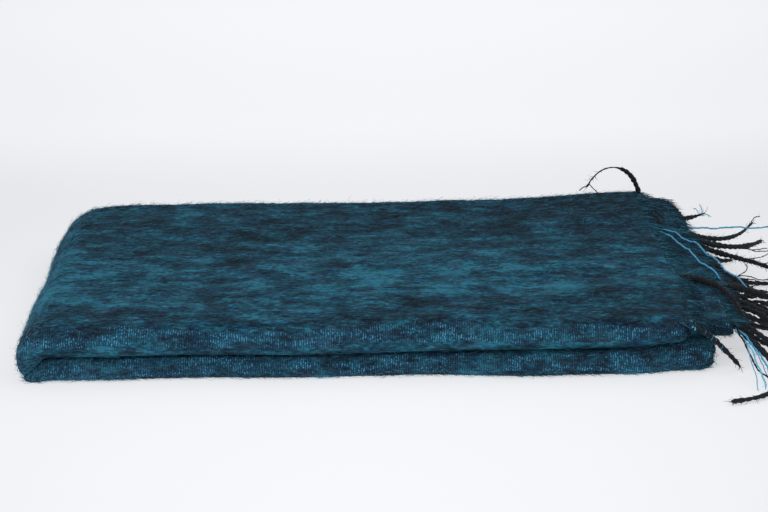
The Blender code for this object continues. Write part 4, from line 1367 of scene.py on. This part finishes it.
def cloth_material(settings):
    """Woven wool melange, brushed: soft matt nap with sheen at grazing angles, and the
    bare weave of fine ribs where the nap is worn thin on the rolls."""
    material, add, shader = new_material("brushed_wool_melange")
    place = add("TexCoord", output="Object")
    colour, streaks, fine = melange(add, place, settings)

    # Ribs and the dots of the yarns that cross them, as cells of one rib's size
    split = add("SeparateXYZ", (add("UVMap", uv_map="cloth"),)).node
    sway = add("Math", (grain(add, place, *RIB_SWAY_GRAIN), 1.3), operation="MULTIPLY")
    small_sway = grain(add, place, *RIB_SMALL_SWAY_GRAIN)
    sway = add("Math", (small_sway, 0.8, sway), operation="MULTIPLY_ADD")
    ribs = (split.outputs[0], 1.0 / settings.rib, sway)
    across_ribs = add("Math", ribs, operation="MULTIPLY_ADD")
    dots = (split.outputs[1], DOTS_PER_RIB / settings.rib, sway)
    along_ribs = add("Math", dots, operation="MULTIPLY_ADD")
    column = add("Math", (across_ribs,), operation="FLOOR")
    along_ribs = add("Math", (column, 0.5, along_ribs), operation="MULTIPLY_ADD")
    row = add("Math", (along_ribs,), operation="FLOOR")
    rib = wave(add, across_ribs)
    narrow_rib = add("Math", (rib, 2.2), operation="POWER")
    dot = add("Math", (wave(add, along_ribs), 0.7, 0.3), operation="MULTIPLY_ADD")
    stitch = add("Math", (narrow_rib, dot), operation="MULTIPLY")

    # Some dots are bright, in patches, and the grooves between the ribs are darkened with
    # painted shade, some more than others
    cell = add("CombineXYZ", (column, row))
    chance = add("TexWhiteNoise", {"Vector": cell}, noise_dimensions="2D")
    single = add("TexWhiteNoise", {"W": column}, noise_dimensions="1D")
    lit = grain(add, place, *LIT_GRAIN)
    lit = add("MapRange", (lit, *LIT_EDGE), interpolation_type="SMOOTHSTEP")
    chance = add("MapRange", (chance, 0.25, 1.0), interpolation_type="SMOOTHSTEP")
    spark = add("Math", (chance, stitch), operation="MULTIPLY")
    lit_more = add("Math", (lit, 1.15, 0.16), operation="MULTIPLY_ADD")
    spark = add("Math", (spark, lit_more), operation="MULTIPLY")
    shade = add("Math", (single, 0.45, 0.3), operation="MULTIPLY_ADD")
    groove = add("Math", (rib, -0.9, 1.0), operation="MULTIPLY_ADD")
    shade = add("Math", (groove, shade), operation="MULTIPLY")
    haze = add("Math", (lit, 0.45), operation="MULTIPLY")
    weave = colour
    for amount, shown in (
        (haze, settings.blue_colour),
        (shade, settings.groove_shade_colour),
        (spark, settings.fleck_colour),
    ):
        weave = add("Mix", {0: amount, 6: weave, 7: linear(shown)}, 2, data_type="RGBA")

    # The nap hides the weave, with a ragged edge
    brushed = add("Attribute", output="Fac", attribute_name="nap")
    ragged = add("Math", (streaks, 1.1, -0.55), operation="MULTIPLY_ADD")
    brushed = add("Math", (brushed, ragged), operation="ADD")
    mask = add("MapRange", (brushed, *NAP_EDGE), interpolation_type="SMOOTHSTEP")
    low = add("Math", (rib, 0.5), operation="MULTIPLY")
    low = add("Math", (stitch, 0.5, low), operation="MULTIPLY_ADD")
    high = add("Math", (streaks, 0.5), operation="MULTIPLY")
    high = add("Math", (fine, 0.8, high), operation="MULTIPLY_ADD")
    height = add("Mix", {0: mask, 2: low, 3: high})
    bump = add("Bump", {"Height": height, "Strength": 0.6, "Distance": 0.8 * MM})
    colour = add("Mix", {0: mask, 6: weave, 7: colour}, 2, data_type="RGBA")
    set_inputs(shader, {"Base Color": colour, "Normal": bump, "Roughness": 0.93})
    set_inputs(shader, wool_shine(settings))
    return material


def wool_shine(settings):
    """Wool is matt, and its fine fibres light up at grazing angles."""
    return {
        "Specular IOR Level": 0.2,
        "Sheen Weight": settings.sheen,
        "Sheen Roughness": 0.45,
        "Sheen Tint": linear(settings.sheen_colour),
    }


def fibre_material(settings):
    """Single wool fibres of the nap: the colour of the cloth at their root, some lighter
    and some darker at random, the loose and the hazy ones paler as painted rim light, matt with
    a little sheen."""
    material, add, shader = new_material("wool_nap_fibres")
    place = add("Attribute", output="Vector", attribute_name="root")
    colour = melange(add, place, settings)[0]
    tone = add("Attribute", output="Fac", attribute_name="tone")
    # Tones from 0.6 up lighten a fibre, at random and as painted rim light on the loose ones;
    # tones above 1 are painted rim light on the haze
    pale = add("MapRange", (tone, 0.60, 1.0), interpolation_type="SMOOTHSTEP")
    painted_rim_light = add("MapRange", (tone, 1.0, 1.6), interpolation_type="SMOOTHSTEP")
    light = add("Math", (pale, 0.40), operation="MULTIPLY")
    light = add("Math", (painted_rim_light, 0.40, light), operation="MULTIPLY_ADD")
    dark = add("MapRange", (tone, 0.40, 0.0), interpolation_type="SMOOTHSTEP")
    dark = add("Math", (dark, 0.60), operation="MULTIPLY")
    for amount, shown in ((light, settings.fleck_colour), (dark, settings.dark_colour)):
        colour = add("Mix", {0: amount, 6: colour, 7: linear(shown)}, 2, data_type="RGBA")
    set_inputs(shader, {"Base Color": colour, "Roughness": 0.85})
    set_inputs(shader, wool_shine(settings))
    return material


def yarn_material(name, base, light, fibre, sheen):
    """Twisted wool yarn: hard-spun plies, matt, with fine fibres along the twist that are
    as long as fibre says, in mm."""
    material, add, shader = new_material(name)
    place = add("UVMap", uv_map="yarn")
    mapped = add("Mapping", {"Vector": place, "Scale": (1000.0 / fibre, YARN_LINES, 1.0)})
    inputs = {"Vector": mapped, "Scale": 1.0, "Detail": 3.0, "Roughness": 0.6}
    lines = add("TexNoise", inputs, noise_dimensions="2D")
    tone = add("Attribute", output="Fac", attribute_name="tone")
    share = add("Math", (lines, 0.9), operation="MULTIPLY")
    share = add("Math", (tone, 0.3, share), operation="MULTIPLY_ADD")
    share = add("MapRange", (share, 0.40, 0.95), interpolation_type="SMOOTHSTEP")
    colour = add("Mix", {0: share, 6: linear(base), 7: linear(light)}, 2, data_type="RGBA")
    bump = add("Bump", {"Height": lines, "Strength": 0.5, "Distance": 0.3 * MM})
    finish = {"Roughness": 0.8, "Specular IOR Level": 0.3, "Sheen Roughness": 0.4}
    set_inputs(shader, {"Base Color": colour, "Normal": bump, "Sheen Weight": sheen, **finish})
    return material


def table_material(settings):
    """Plain pale board that gives off painted light of its own, which keeps its shadows faint:
    the glow fades to a slightly darker band behind the shawl and to the sides, as a lit paper
    sweep does."""
    material, add, shader = new_material("pale_table")
    split = add("SeparateXYZ", (add("TexCoord", output="Object"),)).node
    x, y = split.outputs[0], split.outputs[1]
    glow = settings.table_glow
    for start, end, change in TABLE_FADES:
        share = add("MapRange", (y, start, end), interpolation_type="SMOOTHSTEP")
        glow = add("Math", (share, change, glow), operation="MULTIPLY_ADD")
    distance = add("Math", (y, TABLE_NEAR), operation="ADD")
    distance = add("Math", (distance, NEAREST), operation="MAXIMUM")
    aside = add("Math", (x, TABLE_SHIFT), operation="ADD")
    aside = add("Math", (aside, distance), operation="DIVIDE")
    aside = add("Math", (aside, aside), operation="MULTIPLY")
    aside = add("Math", (aside, ASIDE_MOST), operation="MINIMUM")
    glow = add("Math", (aside, ASIDE_FADE, glow), operation="MULTIPLY_ADD")
    finish = {"Roughness": 0.85, "Specular IOR Level": 0.2, "Emission Strength": glow}
    colours = (settings.shaded_colour, settings.table_colour)
    set_inputs(shader, dict(zip(("Base Color", "Emission Color"), map(linear, colours))))
    set_inputs(shader, finish)
    return material


# Settings


class ShawlClothSettings(bpy.types.PropertyGroup):
    """The brushed cloth: its weave, nap and colours"""

    rib: bpy.props.FloatProperty(
        name="Rib spacing",
        description="Distance between two ribs of the weave, drawn as coarse as the view shows",
        default=1.7 * MM,
        min=0.5 * MM,
        unit="LENGTH",
        precision=5,
    )
    sheen: bpy.props.FloatProperty(
        name="Sheen",
        description="How much the nap lights up at grazing angles",
        default=0.16,
        min=0.0,
        max=1.0,
        subtype="FACTOR",
    )
    nap_count: bpy.props.IntProperty(
        name="Nap fibres",
        description="Single fibres on the upper half's nap",
        default=12000,
        min=0,
        max=12400,
    )
    dark_colour: bpy.props.StringProperty(
        name="Dark", description="Darkest wool, sRGB hex", default="#0f1d28"
    )
    deep_colour: bpy.props.StringProperty(
        name="Deep", description="Deep petrol wool, sRGB hex", default="#193546"
    )
    middle_colour: bpy.props.StringProperty(
        name="Middle", description="Middle teal wool, sRGB hex", default="#1a4459"
    )
    teal_colour: bpy.props.StringProperty(
        name="Teal", description="Light teal wool, sRGB hex", default="#245769"
    )
    light_colour: bpy.props.StringProperty(
        name="Light", description="Lightest teal wool, sRGB hex", default="#327a92"
    )
    blue_colour: bpy.props.StringProperty(
        name="Blue", description="Blue haze of the bare weave, sRGB hex", default="#1c6588"
    )
    blue_tint: bpy.props.StringProperty(
        name="Blue tint", description="What bluer fibres are multiplied by", default="#9fdcff"
    )
    purple_tint: bpy.props.StringProperty(
        name="Purple tint", description="What purple ones are multiplied by", default="#ffb4c0"
    )
    green_tint: bpy.props.StringProperty(
        name="Green tint", description="What greener ones are multiplied by", default="#c4fff0"
    )
    # Painted shade in the grooves between the ribs
    groove_shade_colour: bpy.props.StringProperty(
        name="Grooves", description="Purple black between the ribs, sRGB hex", default="#1b2133"
    )
    fleck_colour: bpy.props.StringProperty(
        name="Flecks", description="Bright blue flecks of the weave, sRGB hex", default="#66bbdf"
    )
    sheen_colour: bpy.props.StringProperty(
        name="Sheen tint", description="Colour of the nap's sheen, sRGB hex", default="#60a8bc"
    )

    def colours(self):
        pair = self.dark_colour, self.deep_colour
        return *pair, self.middle_colour, self.teal_colour, self.light_colour

    def tints(self):
        return self.blue_tint, self.purple_tint, self.green_tint


class ShawlFringeSettings(bpy.types.PropertyGroup):
    """The twisted tassels and loose threads"""

    pitch: bpy.props.FloatProperty(
        name="Twist",
        description="Length of one turn of a tassel's plies",
        default=11.0 * MM,
        min=3.0 * MM,
        unit="LENGTH",
        precision=4,
    )
    thread_pitch: bpy.props.FloatProperty(
        name="Thread twist",
        description="Length of one turn of a loose thread's plies",
        default=4.0 * MM,
        min=1.0 * MM,
        unit="LENGTH",
        precision=4,
    )
    fuzz: bpy.props.FloatProperty(
        name="Fuzz",
        description="Loose fibres for each millimetre of a tassel",
        default=0.55,
        min=0.0,
        max=2.0,
    )
    black_colour: bpy.props.StringProperty(
        name="Black", description="Yarn of the tassels, sRGB hex", default="#0c0f12"
    )
    grey_colour: bpy.props.StringProperty(
        name="Black lights", description="Lighter fibres of the tassels", default="#1d2b35"
    )
    blue_colour: bpy.props.StringProperty(
        name="Blue", description="Loose blue threads, sRGB hex", default="#2f9fd0"
    )
    bright_colour: bpy.props.StringProperty(
        name="Blue lights", description="Lighter fibres of the blue threads", default="#8ad8f2"
    )


class ShawlStudioSettings(bpy.types.PropertyGroup):
    """The table and the lights"""

    table_colour: bpy.props.StringProperty(
        name="Table", description="Pale table's own glow, sRGB hex", default="#f1f2f4"
    )
    shaded_colour: bpy.props.StringProperty(
        name="Table under light", description="Takes the lamps' light", default="#b5b6b8"
    )
    table_glow: bpy.props.FloatProperty(
        name="Table glow",
        description="Light that the table gives off, which keeps its shadows faint",
        default=0.665,
        min=0.0,
    )
    room: bpy.props.FloatProperty(
        name="Room light", description="Strength of the even light", default=0.45, min=0.0
    )
    key: bpy.props.FloatProperty(
        name="Key light",
        description="Power of the large soft light at the front left",
        default=20.0,
        min=0.0,
        unit="POWER",
    )


# Operators


def as_piece(thing, slot, *replaced):
    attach(thing, "root")
    if replaced:
        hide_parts(*replaced)
    return thing


def levels_of_upper():
    """Even levels up to the middle, and closer ones towards the top of the roll."""
    low = [0.5 * n / HALF_LEVELS for n in range(HALF_LEVELS)]
    angles = [90.0 * n / (HALF_LEVELS - 1) for n in range(HALF_LEVELS)]
    return low + [0.5 + 0.5 * math.sin(math.radians(angle)) for angle in angles]


def dress(context, name, replaced, lattice, levels, shape):
    """One stretch of cloth as a brushed skin, in place of its plain solid."""
    settings = context.scene.shawl_cloth
    wool = material_of("brushed_wool_melange", cloth_material, settings)
    columns, rows = (steps_along(*steps) for steps in lattice)
    as_piece(cloth_skin(name, columns, rows, levels, *shape, wool), "brushed_wool", replaced)
    return {"FINISHED"}


class SHAWL_OT_upper_cloth(bpy.types.Operator):
    """Dresses the upper half of the pack and the turn at its left"""

    bl_idname = "shawl.upper_cloth"
    bl_label = "Upper cloth"

    def execute(self, context):
        shape = upper_point, upper_relief, upper_nap
        levels = levels_of_upper()
        return dress(context, "upper_cloth", "upper_fold", UPPER_LATTICE, levels, shape)


class SHAWL_OT_lower_cloth(bpy.types.Operator):
    """Dresses the lower half of the pack, that rests on the table"""

    bl_idname = "shawl.lower_cloth"
    bl_label = "Lower cloth"

    def execute(self, context):
        shape = lower_point, lower_relief, lower_nap
        levels = [1.0 - level for level in reversed(levels_of_upper())]
        return dress(context, "lower_cloth", "lower_fold", LOWER_LATTICE, levels, shape)


class SHAWL_OT_inner_cloth(bpy.types.Operator):
    """Dresses the cloth's inner end, between the layers of the upper half"""

    bl_idname = "shawl.inner_cloth"
    bl_label = "Inner cloth"

    def execute(self, context):
        shape = inner_point, inner_relief, inner_nap
        levels = [n / HALF_LEVELS for n in range(HALF_LEVELS + 1)]
        return dress(context, "inner_cloth", "inner_end", INNER_LATTICE, levels, shape)


def upper_nap_weight(centres, sides):
    """Where the upper half's nap is thick: top, edges and the roll's underside."""
    x, y, z = centres.T
    weight = np.where(sides == TOP, 1.0, 1.3)
    weight = np.where(sides == BOTTOM, 0.0, weight)
    near_edge = (x < NAP_LEFT_BAND) | (y > PACK_DEPTH - NAP_BACK_BAND)
    weight = np.where((sides == TOP) & near_edge, 1.7, weight)
    face = (sides == FRONT) & (z > BARE_ROLL[0]) & (z < BARE_ROLL[1])
    return np.where(face, 0.25, weight)


def lower_nap_weight(centres, sides):
    x, _, z = centres.T
    weight = np.where((sides == BOTTOM) | (sides == TOP), 0.0, 1.0)
    weight = np.where((sides == FRONT) & (z > LOWER_BARE_ROLL), 0.45, weight)
    return np.where((sides == TOP) & (x > PACK_LENGTH + 1.0), 1.0, weight)


def inner_nap_weight(centres, sides):
    weight = np.where(sides == TOP, 1.0, 0.6)
    weight = np.where((sides == BOTTOM) | (sides == LEFT), 0.0, weight)
    weight = np.where(centres[:, 1] < INNER_BARE, 0.5 * weight, weight)
    return np.where(sides == FRONT, 5.0, weight)


def upper_haze_weight(centres, sides):
    """Left turn and back edge, where the outline shows, and the top a little."""
    near = (centres[:, 0] < HAZE_LEFT_BAND) | (centres[:, 1] > PACK_DEPTH - HAZE_BACK_BAND)
    weight = np.where(near, 1.0, 0.02)
    return np.where((sides == BOTTOM) | (sides == RIGHT), 0.0, weight)


def lower_haze_weight(centres, sides):
    """The lowest part of the front and the ends, most of all at the front left."""
    x, y, z = centres.T
    weight = np.where((sides == BOTTOM) | (sides == TOP), 0.0, 1.0)
    weight = np.where(z > LOW_HAZE, 0.1, weight)
    corner_x, corner_y = HAZY_CORNER
    return np.where((x < corner_x) & (y < corner_y), 4.0 * weight, weight)


class SHAWL_OT_nap(bpy.types.Operator):
    """Raises the brushed nap as single fibres on each stretch of cloth"""

    bl_idname = "shawl.nap"
    bl_label = "Nap"

    def execute(self, context):
        settings = context.scene.shawl_cloth
        wool = material_of("wool_nap_fibres", fibre_material, settings)
        for name, skin, count, weight, grow in (
            ("upper_nap", "upper_cloth", settings.nap_count, upper_nap_weight, nap_fibres),
            ("lower_nap", "lower_cloth", LOWER_NAP, lower_nap_weight, nap_fibres),
            ("inner_nap", "inner_cloth", INNER_NAP, inner_nap_weight, nap_fibres),
            ("upper_haze", "upper_cloth", UPPER_HAZE, upper_haze_weight, haze_fibres),
            ("lower_haze", "lower_cloth", LOWER_HAZE, lower_haze_weight, haze_fibres),
        ):
            cloth = bpy.data.objects[skin]
            thing = grow(name, cloth, count, weight, wool, NAP_SEED + len(name))
            as_piece(thing, "brushed_wool")
        return {"FINISHED"}


def edge_strip(name, levels, lift, root_x, span, material):
    """The woven edge that the tassels grow from: a soft narrow lip beside the cloth."""
    bundle = Bundle()
    alongs = np.linspace(*span, LIP_STEPS)
    for low, high in levels:
        line = []
        for y in alongs:
            x = root_x(y) + SEAM + STRIP_DEPTH / 2.0 - LIP_BACK + 0.25 * math.sin(y / 3.1)
            z = (low + high) / 2.0 - LIP_DOWN + lift * corner_lift(y) + 0.2 * math.sin(y / 4.3)
            line.append((x, y, z))
        radii = (high - low) / 2.0 * (1.0 + 0.08 * np.sin(alongs / 1.7))
        bundle.tube(line, radii, LIP_SIDES, 1, 8.0, 0.0, 0.5)
    thing = bundle.finish(name, material)
    point_values(thing.data, "nap", np.ones(len(thing.data.vertices)))
    return thing


def end_roots(root_x, height, reach, span, count, seed):
    """Roots of the fibres that are brushed off a cloth end."""
    rng = np.random.default_rng(seed)
    along = rng.uniform(*span, count)
    back = rng.uniform(*reach, count)
    return np.array([(root_x(y) - b, y, height(y)) for y, b in zip(along, back)])


def outer_edge_height(along):
    return top_height(PACK_LENGTH - 2.0, along) - 1.2


def inner_edge_height(along):
    return INNER_TOP - 1.8 + corner_lift(along)


class SHAWL_OT_fringe(bpy.types.Operator):
    """Twists the tassels and lays the loose threads at both cloth ends"""

    bl_idname = "shawl.fringe"
    bl_label = "Fringe"

    def execute(self, context):
        settings = context.scene.shawl_fringe
        colours = settings.black_colour, settings.grey_colour
        black = yarn_material("black_twisted_wool", *colours, *BLACK_YARN)
        colours = settings.blue_colour, settings.bright_colour
        blue = yarn_material("blue_twisted_wool", *colours, *BLUE_YARN)
        strands = settled_strands()
        pitch = settings.pitch / MM
        thread_pitch = settings.thread_pitch / MM
        rng = np.random.default_rng(FRINGE_SEED)
        tassels = {True: Bundle(), False: Bundle()}
        threads = {True: Bundle(), False: Bundle()}
        for along, strand in strands.items():
            outer = strand["outer"]
            if strand["width"] > THREAD_WIDTH:
                fuzz = settings.fuzz * (FUZZ_ON_CLOTH if along in ON_CLOTH else 1.0)
                add_tassel(tassels[outer], strand, rng, pitch, fuzz)
                continue
            bundle = threads[outer] if along in BLUE_THREADS else tassels[outer]
            add_thread(bundle, strand["route"], strand["width"], rng, thread_pitch)
        for along, share, width, length, turn, bow, rise, colour in BRANCHES:
            strand = strands[along]
            root = strand["route"][int(share * STRAND_STEPS)]
            route = strand_route(tuple(root), width, length, turn, bow, rise)
            outer = strand["outer"]
            bundle = threads[outer] if colour == BLUE else tassels[outer]
            add_thread(bundle, [tuple(p) for p in route], width, rng, thread_pitch)
        self.wind_blue(threads[strands[WOUND_TASSEL]["outer"]], strands[WOUND_TASSEL], rng)
        for name, bundle, material, replaced in (
            ("tassels_outer_end", tassels[True], black, "fringe_outer_end"),
            ("tassels_inner_end", tassels[False], black, "fringe_inner_end"),
            ("blue_threads_outer_end", threads[True], blue, None),
            ("blue_threads_inner_end", threads[False], blue, None),
        ):
            thing = bundle.finish(name, material)
            as_piece(thing, "twisted_yarn", *([replaced] if replaced else []))
        return {"FINISHED"}

    def wind_blue(self, bundle, strand, rng):
        """A blue thread that winds round the first stretch of a tassel."""
        line = smooth_line(strand["route"], WINDING_STEP)
        side, top = frames_along(line)
        count = int(len(line) * WINDING_SHARE)
        angle = 2.0 * math.pi * np.arange(count) * WINDING_STEP / WINDING_PITCH
        reach = strand["width"] / 2.0 * 0.98
        around = line[:count] + side[:count] * (reach * np.cos(angle))[:, None]
        around = around + top[:count] * (reach * np.sin(angle))[:, None]
        bundle.tube(around, np.full(count, WINDING_RADIUS), 5, 1, 4.0, 0.0, rng.random())


EDGE_PIECES = ("outer_woven_edge", "inner_woven_edge", "outer_edge_nap", "inner_edge_nap")


class SHAWL_OT_cloth_edges(bpy.types.Operator):
    """Lays the narrow woven edges that the tassels grow from, and brushes fibres over them"""

    bl_idname = "shawl.cloth_edges"
    bl_label = "Cloth edges"

    def execute(self, context):
        settings = context.scene.shawl_cloth
        wool = material_of("wool_nap_fibres", fibre_material, settings)
        lip = material_of("brushed_wool_melange", cloth_material, settings)
        low, low_top, high, high_top = INNER_STRIP
        inner_levels = [(low, low_top), (low_top - 0.4, high + 0.4), (high, high_top)]
        edge_strip("outer_woven_edge", [OUTER_STRIP], 1.0, outer_end, OUTER_STRIP_SPAN, lip)
        edge_strip("inner_woven_edge", inner_levels, 0.8, inner_end_x, INNER_STRIP_SPAN, lip)
        for name, end_x, height, (reach, span, count, way, seeds) in (
            ("outer_edge_nap", outer_end, outer_edge_height, OUTER_EDGE_NAP),
            ("inner_edge_nap", inner_end_x, inner_edge_height, INNER_EDGE_NAP),
        ):
            roots = end_roots(end_x, height, reach, span, count, seeds[0])
            edge_fibres(name, roots, way, wool, seeds[1])
        for name in EDGE_PIECES:
            as_piece(bpy.data.objects[name], "brushed_wool")
        return {"FINISHED"}


class SHAWL_OT_declare(bpy.types.Operator):
    """A last step that does nothing"""

    bl_idname = "shawl.declare"
    bl_label = "State the cloth"

    def execute(self, context):
        return {"FINISHED"}


def soft_light(name, place, size, power):
    """A large square light that looks at the middle of the shawl's underside."""
    bpy.ops.object.light_add(type="AREA", location=place)
    lamp = bpy.context.object
    lamp.name = name
    lamp.data.shape = "SQUARE"
    lamp.data.size = size
    lamp.data.energy = power
    lamp.rotation_euler = Vector(place).to_track_quat("Z", "Y").to_euler()


def view_camera():
    """The camera at the photographed angle, from its yaw, pitch and roll."""
    yaw, pitch, roll = (math.radians(a) for a in (CAMERA_YAW, CAMERA_PITCH, CAMERA_ROLL))
    forward = Vector((math.sin(yaw), math.cos(yaw), 0.0))
    right = Vector((math.cos(yaw), -math.sin(yaw), 0.0))
    up = Vector((0.0, 0.0, 1.0))
    ahead = forward * math.cos(pitch) - up * math.sin(pitch)
    over = forward * math.sin(pitch) + up * math.cos(pitch)
    across_view = right * math.cos(roll) + over * math.sin(roll)
    over_view = over * math.cos(roll) - right * math.sin(roll)
    x, y, z = CAMERA_PLACE
    place = to_frame((x + PACK_LENGTH / 2.0, y, z))
    bpy.ops.object.camera_add(location=tuple(place))
    camera = bpy.context.object
    turn = Matrix((across_view, over_view, -ahead)).transposed()
    camera.rotation_euler = turn.to_euler()
    camera.data.sensor_width = CAMERA_SENSOR
    camera.data.lens = CAMERA_LENS
    camera.data.clip_start, camera.data.clip_end = CAMERA_CLIPS
    bpy.context.scene.camera = camera


class SHAWL_OT_studio(bpy.types.Operator):
    """Sets the pale table, the soft lights and the camera"""

    bl_idname = "shawl.studio"
    bl_label = "Studio"

    def execute(self, context):
        settings = context.scene.shawl_studio
        bpy.ops.object.select_all(action="DESELECT")
        bpy.ops.mesh.primitive_plane_add(size=TABLE_SIZE, location=(0.0, 0.0, 0.0))
        table = bpy.context.object
        table.name = "table"
        table.data.materials.append(table_material(settings))
        world = bpy.data.worlds.new("even_room")
        world.use_nodes = True
        back = world.node_tree.nodes["Background"]
        set_inputs(back, {"Color": linear(ROOM_COLOUR), "Strength": settings.room})
        context.scene.world = world
        for name, (place, size, share) in (("key", KEY_LIGHT), ("fill", FILL_LIGHT)):
            soft_light(name, place, size, share * settings.key)
        view_camera()
        context.scene.view_settings.view_transform = "Standard"
        return {"FINISHED"}


STEPS = (
    SHAWL_OT_upper_cloth,
    SHAWL_OT_lower_cloth,
    SHAWL_OT_inner_cloth,
    SHAWL_OT_nap,
    SHAWL_OT_cloth_edges,
    SHAWL_OT_fringe,
    SHAWL_OT_studio,
    SHAWL_OT_declare,
)


class SHAWL_PT_panel(bpy.types.Panel):
    """Settings and steps of the shawl"""

    bl_label = "Shawl"
    bl_idname = "SHAWL_PT_panel"
    bl_space_type = "VIEW_3D"
    bl_region_type = "UI"
    bl_category = "Shawl"

    def draw(self, context):
        layout = self.layout
        for title, group in (
            ("Cloth", context.scene.shawl_cloth),
            ("Fringe", context.scene.shawl_fringe),
            ("Studio", context.scene.shawl_studio),
        ):
            box = layout.box()
            box.label(text=title)
            for key in group.bl_rna.properties.keys():
                if key not in ("rna_type", "name"):
                    box.prop(group, key)
        for step in STEPS:
            layout.operator(step.bl_idname)


SETTINGS = (
    ("shawl_cloth", ShawlClothSettings),
    ("shawl_fringe", ShawlFringeSettings),
    ("shawl_studio", ShawlStudioSettings),
)


def register():
    for name, group in SETTINGS:
        bpy.utils.register_class(group)
        setattr(bpy.types.Scene, name, bpy.props.PointerProperty(type=group))
    for kind in (*STEPS, SHAWL_PT_panel):
        bpy.utils.register_class(kind)


def unregister():
    for kind in reversed((*STEPS, SHAWL_PT_panel)):
        bpy.utils.unregister_class(kind)
    for name, group in reversed(SETTINGS):
        delattr(bpy.types.Scene, name)
        bpy.utils.unregister_class(group)


def main():
    register()
    for name in ("Cube", "Light", "Camera"):
        if name in bpy.data.objects and "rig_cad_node" not in bpy.data.objects[name]:
            bpy.data.objects.remove(bpy.data.objects[name])
    bpy.ops.shawl.upper_cloth()
    bpy.ops.shawl.lower_cloth()
    bpy.ops.shawl.inner_cloth()
    bpy.ops.shawl.nap()
    bpy.ops.shawl.cloth_edges()
    bpy.ops.shawl.fringe()
    bpy.ops.shawl.studio()
    bpy.ops.shawl.declare()


if __name__ == "__main__":
    main()
